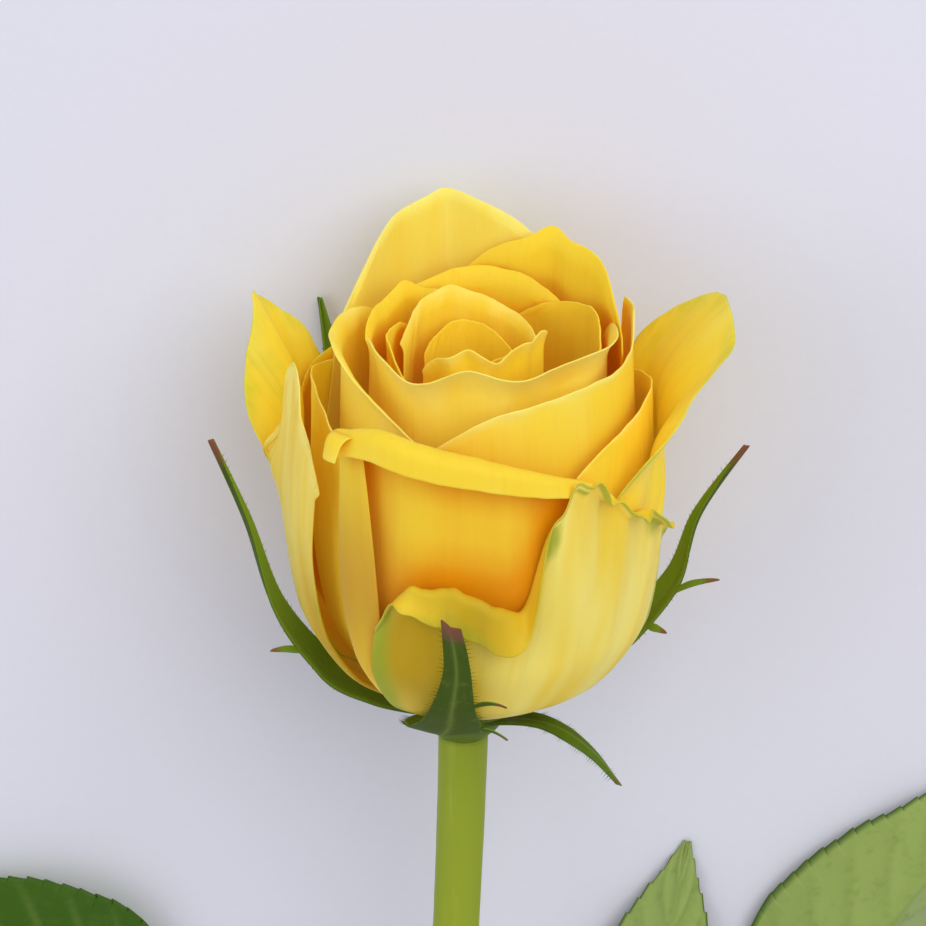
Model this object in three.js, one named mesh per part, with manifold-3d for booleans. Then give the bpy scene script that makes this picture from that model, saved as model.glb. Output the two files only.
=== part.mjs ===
// A cut rose lying on a flat surface: an open bloom of separate petals on its hip, five sepals,
// a thorned stem and three leaves. Millimetres and degrees, +Z up from the surface, +Y towards the
// bloom, and the origin at the bottom centre of the whole rose.
import * as THREE from "three";
import Module from "manifold-3d";

const wasm = await Module();
wasm.setup();

// Driving dimensions
const bloomRadius = 24.2; // of the closed body of petals, at its widest
const bloomHeight = 67; // from the foot of the hip to the tip of the tallest petal
const bloomShift = 1.2; // how far the body of petals sits to the right of the stem
const shiftHeight = 6; // above the hip's seat, over which the petals lean across to there
const petalThickness = 0.45;
const petalGap = 0.4; // clear space kept between a petal and the ones inside it
const hipRadius = 5.2;
const hipHeight = 5.6; // up to the seat of the outermost petals
const hipCrown = 7; // from there to the seat of the innermost ones
const neckRadius = 3.1; // of the stem just under the hip
const stemRadius = 2.5; // of the stem at its cut end
const stemLength = 285;
const prickleLength = 4.2;
const prickleRadius = 1.7;
const sepalWidth = 10;
const sepalThickness = 0.6;
const leafletLength = 50; // of the leaflet at the end of a leaf
const leafletWidth = 29;
const leafThickness = 0.5;
const stalkRadius = 0.9; // of a leaf's stalk where it leaves the stem
const seatGap = 0.3; // between pieces that grow on one another

// How finely the curved sheets are cut
const petalAcross = 8;
const petalUp = 8;
const sepalAcross = 4;
const sepalUp = 10;
const leafAcross = 4;
const leafUp = 8;

const radians = THREE.MathUtils.degToRad;
const clamp = THREE.MathUtils.clamp;

// The curve through a row of values, read at a share from 0 to 1
function along(values, share) {
  const last = values.length - 1;
  const at = clamp(share, 0, 1) * last;
  const i = Math.min(Math.floor(at), last - 1);
  const t = at - i;
  const before = values[Math.max(i - 1, 0)];
  const after = values[Math.min(i + 2, last)];
  const [a, b] = [values[i], values[i + 1]];
  const [da, db] = [(b - before) / 2, (after - a) / 2];
  return a * (2 * t ** 3 - 3 * t * t + 1) + da * (t ** 3 - 2 * t * t + t)
    + b * (3 * t * t - 2 * t ** 3) + db * (t ** 3 - t * t);
}

// The same for u from -1, at the left edge, to 1, at the right edge
const across = (values, u) => along(values, (u + 1) / 2);

// The bloom's outermost outline, radius against height, as shares of its radius and height. It starts
// at the rim of the hip.
const outlineHeights = [0.09, 0.12, 0.18, 0.28, 0.45, 0.65, 0.85, 1.05];
const outlineRadii = [(0.93 * hipRadius) / bloomRadius, 0.48, 0.76, 0.93, 1.0, 0.985, 0.96, 0.93];

function outlineRadius(z) {
  const height = z / bloomHeight;
  const last = outlineHeights.length - 1;
  let i = 0;
  while (i < last - 1 && height > outlineHeights[i + 1]) i += 1;
  const t = clamp((height - outlineHeights[i]) / (outlineHeights[i + 1] - outlineHeights[i]), 0, 1);
  return bloomRadius * along(outlineRadii, (i + t) / last);
}

// A point of the bloom at an azimuth (0 at the front, 90 at the right), a radius and a height
function place(azimuth, radius, z) {
  const a = radians(azimuth);
  const shift = bloomShift * clamp((z - hipHeight) / shiftHeight, 0, 1);
  return new THREE.Vector3(radius * Math.sin(a) + shift, -radius * Math.cos(a), z);
}

// Each petal, from the innermost outwards. layer is its share of the outline's radius, height where
// it stops standing, lip the length past that and turn how far the lip bends outwards: each is a row
// of values from the left edge to the right edge. left and right are the azimuths of its edges at
// the foot, a quarter, half and three quarters of the way up, the top, and the end of the lip. bend
// is the share of the lip that does the bending.
const petals = [
  { name: "petal_core_1", layer: [0.07, 0.09, 0.13], height: [47, 49, 50], lip: [1, 1, 1],
    turn: [0, 5, 10], left: [150, 90, 60, 50, 50, 51], right: [210, 270, 320, 340, 345, 344] },
  { name: "petal_core_2", layer: [0.17, 0.19, 0.2], height: [48, 49.5, 51], lip: [1.5, 2, 2],
    turn: [5, 15, 30], left: [-20, -80, -90, -95, -95, -94], right: [60, 90, 100, 100, 95, 94] },
  { name: "petal_core_3", layer: [0.24, 0.26, 0.26], height: [49, 51, 50], lip: [1.5, 2, 2],
    turn: [0, 5, 0], left: [150, 120, 110, 110, 115, 116], right: [200, 240, 255, 255, 250, 249] },
  { name: "petal_core_4", layer: [0.29, 0.31, 0.33], height: [48, 49.5, 53], lip: [2, 2.5, 3],
    turn: [10, 20, 20], left: [-10, -45, -60, -60, -55, -54], right: [40, 72, 80, 82, 80, 79] },
  { name: "petal_inner_1", layer: [0.38, 0.37, 0.36], height: [50, 53.5, 52], lip: [2, 2.5, 2],
    turn: [10, 10, 5], left: [165, 135, 120, 115, 118, 119], right: [215, 245, 262, 265, 262, 261] },
  { name: "petal_inner_2", layer: [0.43, 0.43, 0.44], height: [51, 51, 46], lip: [2, 2.5, 2],
    turn: [0, 10, 15], left: [-100, -140, -150, -150, -140, -138], right: [-50, -20, -5, -5, -25, -26] },
  { name: "petal_inner_3", layer: [0.5, 0.48, 0.5], height: [50, 53.5, 50.5], lip: [1, 1.5, 1],
    turn: [0, 5, 0], left: [85, 55, 45, 45, 55, 57], right: [135, 165, 175, 178, 168, 166] },
  { name: "petal_inner_4", layer: [0.53, 0.53, 0.52], height: [51, 53, 53.5], lip: [2, 2.5, 2],
    turn: [10, 15, 10], left: [195, 165, 155, 155, 160, 161], right: [240, 270, 282, 282, 275, 273] },
  { name: "petal_inner_5", layer: [0.55, 0.55, 0.56, 0.6, 0.66], height: [53, 50, 50, 50.5, 52],
    lip: [3.5, 4.5, 4.5, 4.5, 4], turn: [20, 50, 55, 50, 40], left: [-20, -62, -72, -76, -78, -78],
    right: [35, 80, 100, 105, 105, 104] },
  { name: "petal_middle_1", layer: [0.62, 0.6, 0.6], height: [51, 54, 52], lip: [2, 3, 2],
    turn: [5, 10, 5], left: [150, 125, 115, 112, 118, 119], right: [200, 225, 240, 240, 230, 228] },
  { name: "petal_middle_3", layer: [0.63, 0.66, 0.69], height: [50, 52, 51.5, 47.5, 43],
    lip: [2, 3, 3.5, 2.5, 1.5], turn: [10, 40, 60, 60, 50], left: [-110, -140, -155, -158, -148, -146],
    right: [-55, -20, -3, -3, -6, -7] },
  { name: "petal_middle_2", layer: [0.76, 0.73, 0.7], height: [52, 55, 58.6, 56, 50],
    lip: [2, 3, 3, 3, 2], turn: [5, 25, 35, 25, 5], left: [125, 90, 78, 76, 82, 84],
    right: [175, 200, 212, 212, 202, 200] },
  { name: "petal_middle_4", layer: [0.77, 0.78, 0.8, 0.82, 0.83], height: [44, 49, 51, 51.5, 56],
    lip: [1, 1.5, 1.5, 1.5, 2], turn: [0, 10, 10, 10, 20], left: [15, -15, -28, -30, -28, -28],
    right: [70, 108, 118, 120, 112, 111] },
  { name: "petal_middle_5", layer: [0.82, 0.82, 0.8], height: [51, 60, 63.6, 58.5, 51],
    lip: [2, 2, 2, 2, 2], turn: [10, 20, 30, 20, 10], left: [160, 135, 126, 124, 134, 136],
    right: [215, 245, 252, 250, 240, 238] },
  { name: "petal_outer_1", layer: [0.83, 0.81, 0.82], height: [42, 45, 43], lip: [2, 3, 2],
    turn: [5, 10, 5], left: [225, 212, 206, 206, 212, 213], right: [255, 285, 325, 330, 320, 316] },
  { name: "petal_outer_7", layer: [0.91, 0.91, 0.91], height: [44, 46, 43], lip: [1, 2, 1],
    turn: [0, 5, 0], left: [50, 30, 24, 24, 32, 34], right: [95, 128, 142, 142, 134, 132] },
  { name: "petal_outer_2", layer: [0.98, 0.97, 0.96, 0.95, 0.93], height: [38, 39, 40, 42, 42],
    lip: [1.5, 11, 19, 18, 9], turn: [20, 38, 42, 38, 20], bend: 0.5,
    left: [20, 30, 34, 36, 40, 42], right: [45, 55, 66, 92, 126, 125] },
  { name: "petal_outer_3", layer: [0.95, 0.95, 0.95, 0.95, 0.95], height: [50, 48, 47.5, 46.5, 46],
    lip: [6, 7, 6, 4, 2.5], turn: [165, 175, 175, 165, 130], left: [-25, -36, -39, -40, -40, -40],
    right: [15, 36, 44, 46, 44, 44] },
  { name: "petal_outer_4", layer: [0.93, 0.92, 0.92], height: [42, 46, 42], lip: [3, 4, 3],
    turn: [5, 10, 5], left: [135, 128, 126, 126, 130, 131], right: [170, 188, 198, 198, 192, 191] },
  { name: "petal_outer_6", layer: [0.94, 0.93, 0.93], height: [40, 44, 42], lip: [3, 4, 3],
    turn: [5, 10, 5], left: [195, 182, 176, 176, 180, 181], right: [240, 252, 256, 256, 250, 249] },
  { name: "petal_outer_5", layer: [0.97, 0.93, 0.89], height: [42, 44, 40, 34, 28],
    lip: [2, 12, 15, 8, 2], turn: [10, 24, 28, 20, 10], bend: 0.5,
    left: [225, 215, 212, 214, 223, 225], right: [258, 272, 284, 284, 276, 275] },
  { name: "petal_guard_1", layer: [0.95, 0.94, 0.96], height: [34, 42, 50, 44, 38],
    lip: [1, 2, 4, 2, 1], turn: [0, 0, -10, 0, 0], left: [-75, -90, -100, -102, -94, -92],
    right: [-40, -42, -43, -44, -48, -50] },
  { name: "petal_guard_2", layer: [1.05, 1.06, 1.08, 1.05, 0.98],
    height: [24, 31.5, 32, 29, 40.6, 39.6, 36, 33, 31], lip: [2, 5, 5, 2, 1, 1, 1, 1, 1],
    turn: [60, 165, 175, 120, 20, 20, 20, 20, 20], left: [-24, -29, -32, -32, -29, -28],
    right: [40, 60, 72, 76, 76, 76] },
  { name: "petal_guard_3", layer: [1.0, 0.99, 0.99], height: [34, 40, 36], lip: [3, 4, 3],
    turn: [5, 10, 5], left: [140, 130, 124, 124, 130, 132], right: [175, 195, 206, 206, 198, 196] },
];

const standing = 0.8; // the share of a petal's rows that stand; the rest is its lip
const crowding = 1.25; // how much closer together the rows are near the foot
const cornerSharpness = 6; // how near the corner the top edge starts to fall
const lipSteps = 12; // that a lip's bend is added up in
const cornerDrop = 1.5; // how far the top edge falls away at a petal's corners

// A petal's middle surface at u from -1 to 1 across it and v from 0 to 1 up it
function petalPoint(petal, u, v) {
  const layer = across(petal.layer, u);
  const rise = hipCrown * (1 - across(petal.layer, 0));
  const foot = hipHeight + seatGap + rise;
  const top = across(petal.height, u) - cornerDrop * Math.abs(u) ** cornerSharpness;
  const up = Math.min(v / standing, 1);
  const past = Math.max((v - standing) / (1 - standing), 0);
  const azimuth = along(petal.left, v) * (1 - u) / 2 + along(petal.right, v) * (1 + u) / 2;
  let z = foot + (top - foot) * up ** crowding;
  let radius = layer * outlineRadius(z - rise * (1 - up));
  if (past > 0) {
    const below = layer * outlineRadius(z - 1);
    const slope = Math.atan2(radius - below, 1);
    const turn = radians(across(petal.turn, u));
    const stride = (across(petal.lip, u) * past) / lipSteps;
    for (let i = 0; i < lipSteps; i += 1) {
      const done = Math.min((past * (i + 0.5)) / lipSteps / (petal.bend ?? 1), 1);
      const lean = slope + turn * done;
      radius += stride * Math.sin(lean);
      z += stride * Math.cos(lean);
    }
  }
  return place(azimuth, radius, z);
}

// A grid of points, [across][up], of a surface that is read at u and v
function gridOf(point, columns, rows) {
  return Array.from({ length: columns + 1 }, (_, i) =>
    Array.from({ length: rows + 1 }, (__, j) => point((2 * i) / columns - 1, j / rows)));
}

// The unit normals of a grid, one for each point
function normalsOf(grid) {
  const [lastColumn, lastRow] = [grid.length - 1, grid[0].length - 1];
  return grid.map((column, i) => column.map((_, j) => {
    const alongU = grid[Math.min(i + 1, lastColumn)][j].clone().sub(grid[Math.max(i - 1, 0)][j]);
    const alongV = column[Math.min(j + 1, lastRow)].clone().sub(column[Math.max(j - 1, 0)]);
    return alongU.cross(alongV).normalize();
  }));
}

// The two triangles of each square of a grid, as index triples into its points in a row
function facesOf(columns, rows) {
  const faces = [];
  for (let i = 0; i < columns - 1; i += 1) {
    for (let j = 0; j < rows - 1; j += 1) {
      const [a, b] = [i * rows + j, (i + 1) * rows + j];
      faces.push([a, b, b + 1], [a, b + 1, a + 1]);
    }
  }
  return faces;
}

// A closed sheet of even thickness around a grid
function sheetGeometry(grid, thickness) {
  const normals = normalsOf(grid);
  const [columns, rows] = [grid.length, grid[0].length];
  const points = [1, -1].flatMap((side) =>
    grid.flatMap((column, i) => column.map((p, j) =>
      p.clone().addScaledVector(normals[i][j], (side * thickness) / 2))));
  const under = columns * rows;
  const at = (i, j) => i * rows + j;
  const triangles = facesOf(columns, rows).flatMap(([a, b, c]) =>
    [a, b, c, under + a, under + c, under + b]);
  const rim = [
    ...Array.from({ length: columns - 1 }, (_, i) => at(i, 0)),
    ...Array.from({ length: rows - 1 }, (_, j) => at(columns - 1, j)),
    ...Array.from({ length: columns - 1 }, (_, i) => at(columns - 1 - i, rows - 1)),
    ...Array.from({ length: rows - 1 }, (_, j) => at(0, rows - 1 - j)),
  ];
  rim.forEach((a, n) => {
    const b = rim[(n + 1) % rim.length];
    triangles.push(a, under + a, b, b, under + a, under + b);
  });
  return new THREE.BufferGeometry().setFromPoints(points).setIndex(triangles);
}

// How pieces are kept off one another: nothing further than this from a surface is looked at
const reach = 4;
const flattest = 0.5; // the least share of a push that goes straight away from the bloom's axis

// A grid with its triangles made ready for finding the nearest point of its surface
function surfaceOf(grid) {
  const points = grid.flat();
  const normals = normalsOf(grid).flat();
  const faces = facesOf(grid.length, grid[0].length).map((corners) => {
    const triangle = new THREE.Triangle(...corners.map((n) => points[n]));
    const centre = triangle.getMidpoint(new THREE.Vector3());
    const radius = Math.max(...corners.map((n) => points[n].distanceTo(centre)));
    return { corners, triangle, centre, radius };
  });
  const box = new THREE.Box3().setFromPoints(points);
  return { points, normals, faces, box };
}

// The nearest point of a surface, its weights between the triangle's corners, and the way out there
function nearestOn(surface, point) {
  let distance = reach;
  let face = null;
  const spot = new THREE.Vector3();
  const tried = new THREE.Vector3();
  surface.faces.forEach((candidate) => {
    if (candidate.centre.distanceTo(point) - candidate.radius > distance) return;
    candidate.triangle.closestPointToPoint(point, tried);
    if (tried.distanceTo(point) >= distance) return;
    distance = tried.distanceTo(point);
    spot.copy(tried);
    face = candidate;
  });
  if (!face) return null;
  const weights = face.triangle.getBarycoord(spot, new THREE.Vector3());
  const out = new THREE.Vector3();
  face.corners.forEach((n, k) => out.addScaledVector(surface.normals[n], weights.getComponent(k)));
  if (out.x * spot.x + out.y * spot.y < 0) out.negate();
  return { spot, face, weights: weights.toArray(), out: out.normalize() };
}

// How far a point has to go along out to be clear of a surface, or 0 when the surface isn't under it
function shortfall(away, out, clear) {
  const height = away.dot(out);
  const beside = Math.sqrt(Math.max(away.lengthSq() - height * height, 0));
  return height < clear && beside < clear ? clear - height : 0;
}

// The move that takes a point this far along out: an upright one goes straight away from the axis
function pushFrom(point, out, missing, upright) {
  if (!upright) return out.clone().multiplyScalar(missing);
  const aside = new THREE.Vector3(point.x, point.y, 0).normalize();
  return aside.multiplyScalar(missing / Math.max(aside.dot(out), flattest));
}

// Moves the points of the outer grid outwards until it is clear of the inner surface
function pushOff(grid, inner, { clear, upright }) {
  const outer = surfaceOf(grid);
  if (!outer.box.clone().expandByScalar(reach).intersectsBox(inner.box)) return;
  outer.points.forEach((point) => {
    const near = nearestOn(inner, point);
    if (!near) return;
    const missing = shortfall(point.clone().sub(near.spot), near.out, clear);
    point.add(pushFrom(point, near.out, missing, upright));
  });
  inner.points.forEach((point) => {
    const near = nearestOn(outer, point);
    if (!near) return;
    const missing = shortfall(near.spot.clone().sub(point), near.out, clear);
    const share = near.weights.reduce((sum, weight) => sum + weight * weight, 0);
    near.face.corners.forEach((n, k) => {
      const point = outer.points[n];
      point.add(pushFrom(point, near.out, (missing * near.weights[k]) / share, upright));
    });
  });
}

const passes = 12; // how many times each piece is pushed off the ones inside it
const firmPasses = 4; // the last of them, with no easing in between
const easing = 0.5; // how much of a push is shared with the points around it

// Shares each point's move from its home with its neighbours, so that a push makes no sharp fold
function ease(grid, home) {
  const moves = grid.map((column, i) => column.map((point, j) => point.clone().sub(home[i][j])));
  grid.forEach((column, i) => column.forEach((point, j) => {
    const around = [moves[i - 1]?.[j], moves[i + 1]?.[j], moves[i][j - 1], moves[i][j + 1]];
    const near = around.filter((move) => move);
    const shared = near.reduce((sum, move) => sum.add(move), new THREE.Vector3());
    point.copy(home[i][j]).add(moves[i][j].clone().lerp(shared.divideScalar(near.length), easing));
  }));
}

// Pushes each grid off all the ones before it, so nothing overlaps. room holds how clear it has to
// stand, and whether it is upright.
function nest(grids, inside, room) {
  const placed = [...inside];
  grids.forEach((grid) => {
    const home = grid.map((column) => column.map((point) => point.clone()));
    for (let pass = 0; pass < passes; pass += 1) {
      placed.forEach((inner) => pushOff(grid, inner, room));
      if (pass < passes - firmPasses) ease(grid, home);
    }
    placed.push(surfaceOf(grid));
  });
  return placed;
}

// A closed body through rings of points, each ring the same number of points
function loftGeometry(rings) {
  const sides = rings[0].length;
  const points = rings.flat();
  const triangles = [];
  for (let i = 0; i < rings.length - 1; i += 1) {
    for (let j = 0; j < sides; j += 1) {
      const [a, b] = [i * sides + j, i * sides + ((j + 1) % sides)];
      triangles.push(a, b, b + sides, a, b + sides, a + sides);
    }
  }
  const top = (rings.length - 1) * sides;
  for (let j = 1; j < sides - 1; j += 1) {
    triangles.push(0, j + 1, j, top, top + j, top + j + 1);
  }
  return new THREE.BufferGeometry().setFromPoints(points).setIndex(triangles);
}

// A round body along a path of centres, with a radius for each
function tubeGeometry(centres, radii, sides) {
  const last = centres.length - 1;
  const acrossPath = new THREE.Vector3(1, 0.1, 0.2);
  return loftGeometry(centres.map((centre, i) => {
    const before = centres[Math.max(i - 1, 0)];
    const forward = centres[Math.min(i + 1, last)].clone().sub(before).normalize();
    const side = acrossPath.clone().cross(forward).normalize();
    const other = forward.clone().cross(side);
    return Array.from({ length: sides }, (_, j) => {
      const a = (2 * Math.PI * j) / sides;
      const point = centre.clone().addScaledVector(side, radii[i] * Math.cos(a));
      return point.addScaledVector(other, radii[i] * Math.sin(a));
    });
  }));
}

const petalColour = 0xf2c830;
const sepalColour = 0x4f6b1c;
const stemColour = 0x84a02c;
const leafColour = 0x3f6a16;

function mesh(name, geometry, colour, roughness = 0.6) {
  const material = new THREE.MeshStandardMaterial({ color: colour, roughness, metalness: 0 });
  const made = new THREE.Mesh(geometry, material);
  made.name = name;
  return made;
}

// The hip, with a low crown that the petals sit on
const hipProfile = [[neckRadius, 0], [0.86 * hipRadius, 1], [hipRadius, 3], [hipRadius, 4.4],
  [0.84 * hipRadius, hipHeight], [0.4 * hipRadius, hipHeight + 0.35 * hipCrown],
  [0.06 * hipRadius, hipHeight + 0.65 * hipCrown]];
const hipSides = 20;
const hipRings = hipProfile.map(([radius, z]) => Array.from({ length: hipSides }, (_, j) => {
  const a = (2 * Math.PI * j) / hipSides;
  return new THREE.Vector3(radius * Math.cos(a), radius * Math.sin(a), z);
}));

// Each sepal's middle line from its base to its tip, as azimuths, radii and heights
const sepals = [
  { name: "sepal_front", azimuth: [-27, -14, -9, -6, -4, -2], radius: [6.5, 12, 18, 23.5, 27, 30],
    height: [4.2, 6.2, 9.4, 15, 22, 29] },
  { name: "sepal_left", azimuth: [-88, -86, -84, -82, -81, -80], radius: [6.5, 12, 18, 24, 27.5, 31],
    height: [4.2, 6.4, 10, 19, 31, 42] },
  { name: "sepal_right", azimuth: [112, 108, 104, 99, 94, 90], radius: [6.5, 12, 18, 25, 27, 31],
    height: [4.2, 6.4, 10, 19, 29, 38] },
  { name: "sepal_low", azimuth: [44, 44, 45, 46, 47, 47.5], radius: [6.5, 10, 14, 18, 22, 25],
    height: [3.8, 5.4, 6.2, 5.8, 4.4, 2.2] },
  { name: "sepal_back", azimuth: [-150, -149, -147, -145, -143, -141], radius: [6.5, 12, 18, 24, 26, 28],
    height: [4.2, 6.4, 10, 21, 34, 47] },
];
const sepalShares = [0.62, 1, 0.86, 0.56, 0.3, 0.1]; // of the width, from base to tip

function sepalPoint(sepal, u, v) {
  const radius = along(sepal.radius, v);
  const half = (sepalWidth / 2) * along(sepalShares, v);
  const azimuth = along(sepal.azimuth, v) + (u * half * 180) / (Math.PI * radius);
  return place(azimuth, radius, along(sepal.height, v));
}

// The bloom, upright on its hip, with the foot of the hip at the origin
const petalGrids = petals.map((petal) =>
  gridOf((u, v) => petalPoint(petal, u, v), petalAcross, petalUp));
const sepalGrids = sepals.map((sepal) =>
  gridOf((u, v) => sepalPoint(sepal, u, v), sepalAcross, sepalUp));
const nested = nest(petalGrids, [], { clear: petalThickness + petalGap, upright: true });
const sepalRoom = (petalThickness + sepalThickness) / 2 + petalGap;
nest(sepalGrids, nested, { clear: sepalRoom, upright: false });
const bloom = [
  ...petals.map(({ name }, n) =>
    mesh(name, sheetGeometry(petalGrids[n], petalThickness), petalColour)),
  mesh("hip", loftGeometry(hipRings), sepalColour),
  ...sepals.map(({ name }, n) =>
    mesh(name, sheetGeometry(sepalGrids[n], sepalThickness), sepalColour)),
];

// The stem below it, how far its middle strays sideways, and where its prickles are
const stray = [0, -1.4, -2.6, -1.5, 0.6, 1.6, 0.8, 0];
const stemRings = 16;
const stemSides = 16;
const cutSlant = 0.9; // the rise of the cut end across the stem, as a share of its radius
const prickles = [[34, 80], [62, 250], [104, 140], [122, 330], [150, 60], [188, 200], [205, 20],
  [236, 290]]; // how far down the stem, and at what azimuth

const stemMiddle = (down) => new THREE.Vector3(along(stray, down / stemLength), 0, -down);
const stemRadiusAt = (down) => THREE.MathUtils.lerp(stemRadius, neckRadius, (1 - down / stemLength) ** 3);

function stemGeometry() {
  const rings = Array.from({ length: stemRings }, (_, i) => {
    const down = stemLength - ((stemLength - seatGap) * i) / (stemRings - 1);
    const radius = stemRadiusAt(down);
    return Array.from({ length: stemSides }, (__, j) => {
      const a = (2 * Math.PI * j) / stemSides;
      const slant = i === 0 ? cutSlant * radius * Math.sin(a) : 0;
      const point = new THREE.Vector3(radius * Math.cos(a), radius * Math.sin(a), slant);
      return point.add(stemMiddle(down));
    });
  });
  return loftGeometry(rings);
}

// A prickle, wide along the stem at its root and hooked down at its point
function prickleGeometry([down, azimuth]) {
  const a = radians(azimuth);
  const out = new THREE.Vector3(Math.sin(a), -Math.cos(a), 0);
  const root = stemMiddle(down).addScaledVector(out, 0.5 * stemRadiusAt(down));
  const length = prickleLength + 0.5 * stemRadiusAt(down);
  const centres = [0, 0.5, 0.8, 1].map((share) =>
    root.clone().addScaledVector(out, length * share).add(new THREE.Vector3(0, 0, -1.6 * share ** 2)));
  return tubeGeometry(centres, [1, 0.42, 0.2, 0.04].map((share) => prickleRadius * share), 6);
}

// One closed body made of several that run into each other
function joined(geometries) {
  const solids = geometries.map((geometry) => new wasm.Manifold(new wasm.Mesh({
    numProp: 3,
    vertProperties: geometry.getAttribute("position").array,
    triVerts: new Uint32Array(geometry.getIndex().array),
  })));
  const { vertProperties, triVerts } = wasm.Manifold.union(solids).getMesh();
  return new THREE.BufferGeometry()
    .setAttribute("position", new THREE.BufferAttribute(vertProperties, 3))
    .setIndex(Array.from(triVerts));
}

const stem = mesh("stem", joined([stemGeometry(), ...prickles.map(prickleGeometry)]), stemColour);

// Laid down with its front up: the tilt that puts the bloom's back and the stem's cut end level
function lowest(pieces, tilt) {
  const point = new THREE.Vector3();
  return Math.min(...pieces.map((piece) => {
    const position = piece.geometry.getAttribute("position");
    let least = Infinity;
    for (let n = 0; n < position.count; n += 1) {
      point.fromBufferAttribute(position, n);
      least = Math.min(least, point.z * Math.sin(tilt) - point.y * Math.cos(tilt));
    }
    return least;
  }));
}

function levelTilt() {
  let [low, high] = [0, radians(20)];
  for (let n = 0; n < 40; n += 1) {
    const tilt = (low + high) / 2;
    if (lowest(bloom, tilt) < lowest([stem], tilt)) low = tilt;
    else high = tilt;
  }
  return low;
}

const tilt = levelTilt();
const hipRise = -lowest(bloom, tilt); // of the middle of the hip's foot above the surface
const laid = new THREE.Group();
laid.add(...bloom, stem);
laid.rotation.x = tilt - Math.PI / 2;
laid.position.z = hipRise;
laid.updateMatrix();

// The leaves, on the surface beside the stem. A stalk leaves the stem so far down it and runs to
// points [x, y] measured from the hip. A leaflet's stalk end is at [x, y] and it points along
// heading, with its size a share of the largest; fold lifts its midrib, or its edges when negative.
const leaves = [
  { name: "leaf_left", down: 78, side: -1, path: [[-18, -67.5], [-34.5, -51.5]], leaflets: [
    { base: [-36.3, -50.2], heading: 158, size: 1, fold: -12 },
    { base: [-17.5, -64.6], heading: 96, size: 0.52, fold: -15 },
    { base: [-20.5, -70.5], heading: 225, size: 0.7, fold: 14 },
  ] },
  { name: "leaf_right", down: 95, side: 1, path: [[12, -86], [25, -69.5], [35.5, -53]], leaflets: [
    { base: [36.7, -50.8], heading: 47, size: 1.06, fold: 48 },
    { base: [21.7, -66.8], heading: 80, size: 0.84, fold: 50 },
    { base: [28.8, -70.5], heading: 340, size: 0.8, fold: 25 },
    { base: [10, -82.2], heading: 96, size: 0.62, fold: 20 },
    { base: [15.5, -88], heading: 300, size: 0.66, fold: 18 },
  ] },
  { name: "leaf_lower", down: 195, side: -1, path: [[-18, -184], [-35, -170], [-44, -162]], leaflets: [
    { base: [-45.7, -160.2], heading: 138, size: 1, fold: -14 },
    { base: [-34.2, -166.8], heading: 80, size: 0.7, fold: -18 },
    { base: [-37.8, -171.8], heading: 205, size: 0.76, fold: 16 },
    { base: [-17, -180.6], heading: 80, size: 0.6, fold: -16 },
    { base: [-20.6, -187], heading: 248, size: 0.66, fold: 20 },
  ] },
];
const leafletShares = [0.07, 0.62, 0.93, 1, 0.93, 0.76, 0.54, 0.28, 0.07]; // of the half width
const leafletArch = 2.2; // how high the middle of a leaflet stands over its ends

function leafletPoint(leaflet, u, v) {
  const fold = radians(leaflet.fold);
  const half = (leafletWidth / 2) * leaflet.size * along(leafletShares, v);
  const raised = Math.sin(fold) * half * (fold > 0 ? 1 - Math.abs(u) : -Math.abs(u));
  return new THREE.Vector3(
    leafletLength * leaflet.size * v,
    -half * u * Math.cos(fold),
    raised + leafletArch * leaflet.size * Math.sin(Math.PI * v),
  );
}

// A leaflet in its place, its lowest point on the surface
function leafletMesh(name, leaflet) {
  const grid = gridOf((u, v) => leafletPoint(leaflet, u, v), leafAcross, leafUp);
  const made = mesh(name, sheetGeometry(grid, leafThickness), leafColour);
  made.geometry.computeBoundingBox();
  made.position.set(...leaflet.base, -made.geometry.boundingBox.min.z);
  made.rotation.z = radians(leaflet.heading);
  return made;
}

const stalkSides = 6;
const stalkSteps = 10;
const stalkTaper = 0.4; // the share of its radius that a stalk loses on the way

function stalkGeometry({ down, side, path }) {
  const start = stemMiddle(down).applyMatrix4(laid.matrix);
  start.x += side * (stemRadiusAt(down) + stalkRadius + seatGap);
  const low = stalkRadius + seatGap;
  const curve = new THREE.CatmullRomCurve3([start, ...path.map(([x, y]) => new THREE.Vector3(x, y, low))]);
  const centres = curve.getSpacedPoints(stalkSteps);
  centres.forEach((centre) => {
    centre.z = Math.max(centre.z, low);
  });
  const radii = centres.map((_, n) => stalkRadius * (1 - (stalkTaper * n) / stalkSteps));
  return tubeGeometry(centres, radii, stalkSides);
}

const foliage = leaves.flatMap((leaf) => [
  mesh(`${leaf.name}_stalk`, stalkGeometry(leaf), stemColour),
  ...leaf.leaflets.map((leaflet, n) => leafletMesh(`${leaf.name}_leaflet_${n + 1}`, leaflet)),
]);

// Everything, moved so that the origin is at its bottom centre
const plant = new THREE.Group();
plant.add(laid, ...foliage);
const box = new THREE.Box3().setFromObject(plant, true);
const centre = box.getCenter(new THREE.Vector3());
plant.position.set(-centre.x, -centre.y, -box.min.z);
const rose = new THREE.Group();
rose.add(plant);
export default rose;
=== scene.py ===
import math

import bmesh
import bpy
import numpy as np
from mathutils import Matrix, Vector
from mathutils.bvhtree import BVHTree


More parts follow.
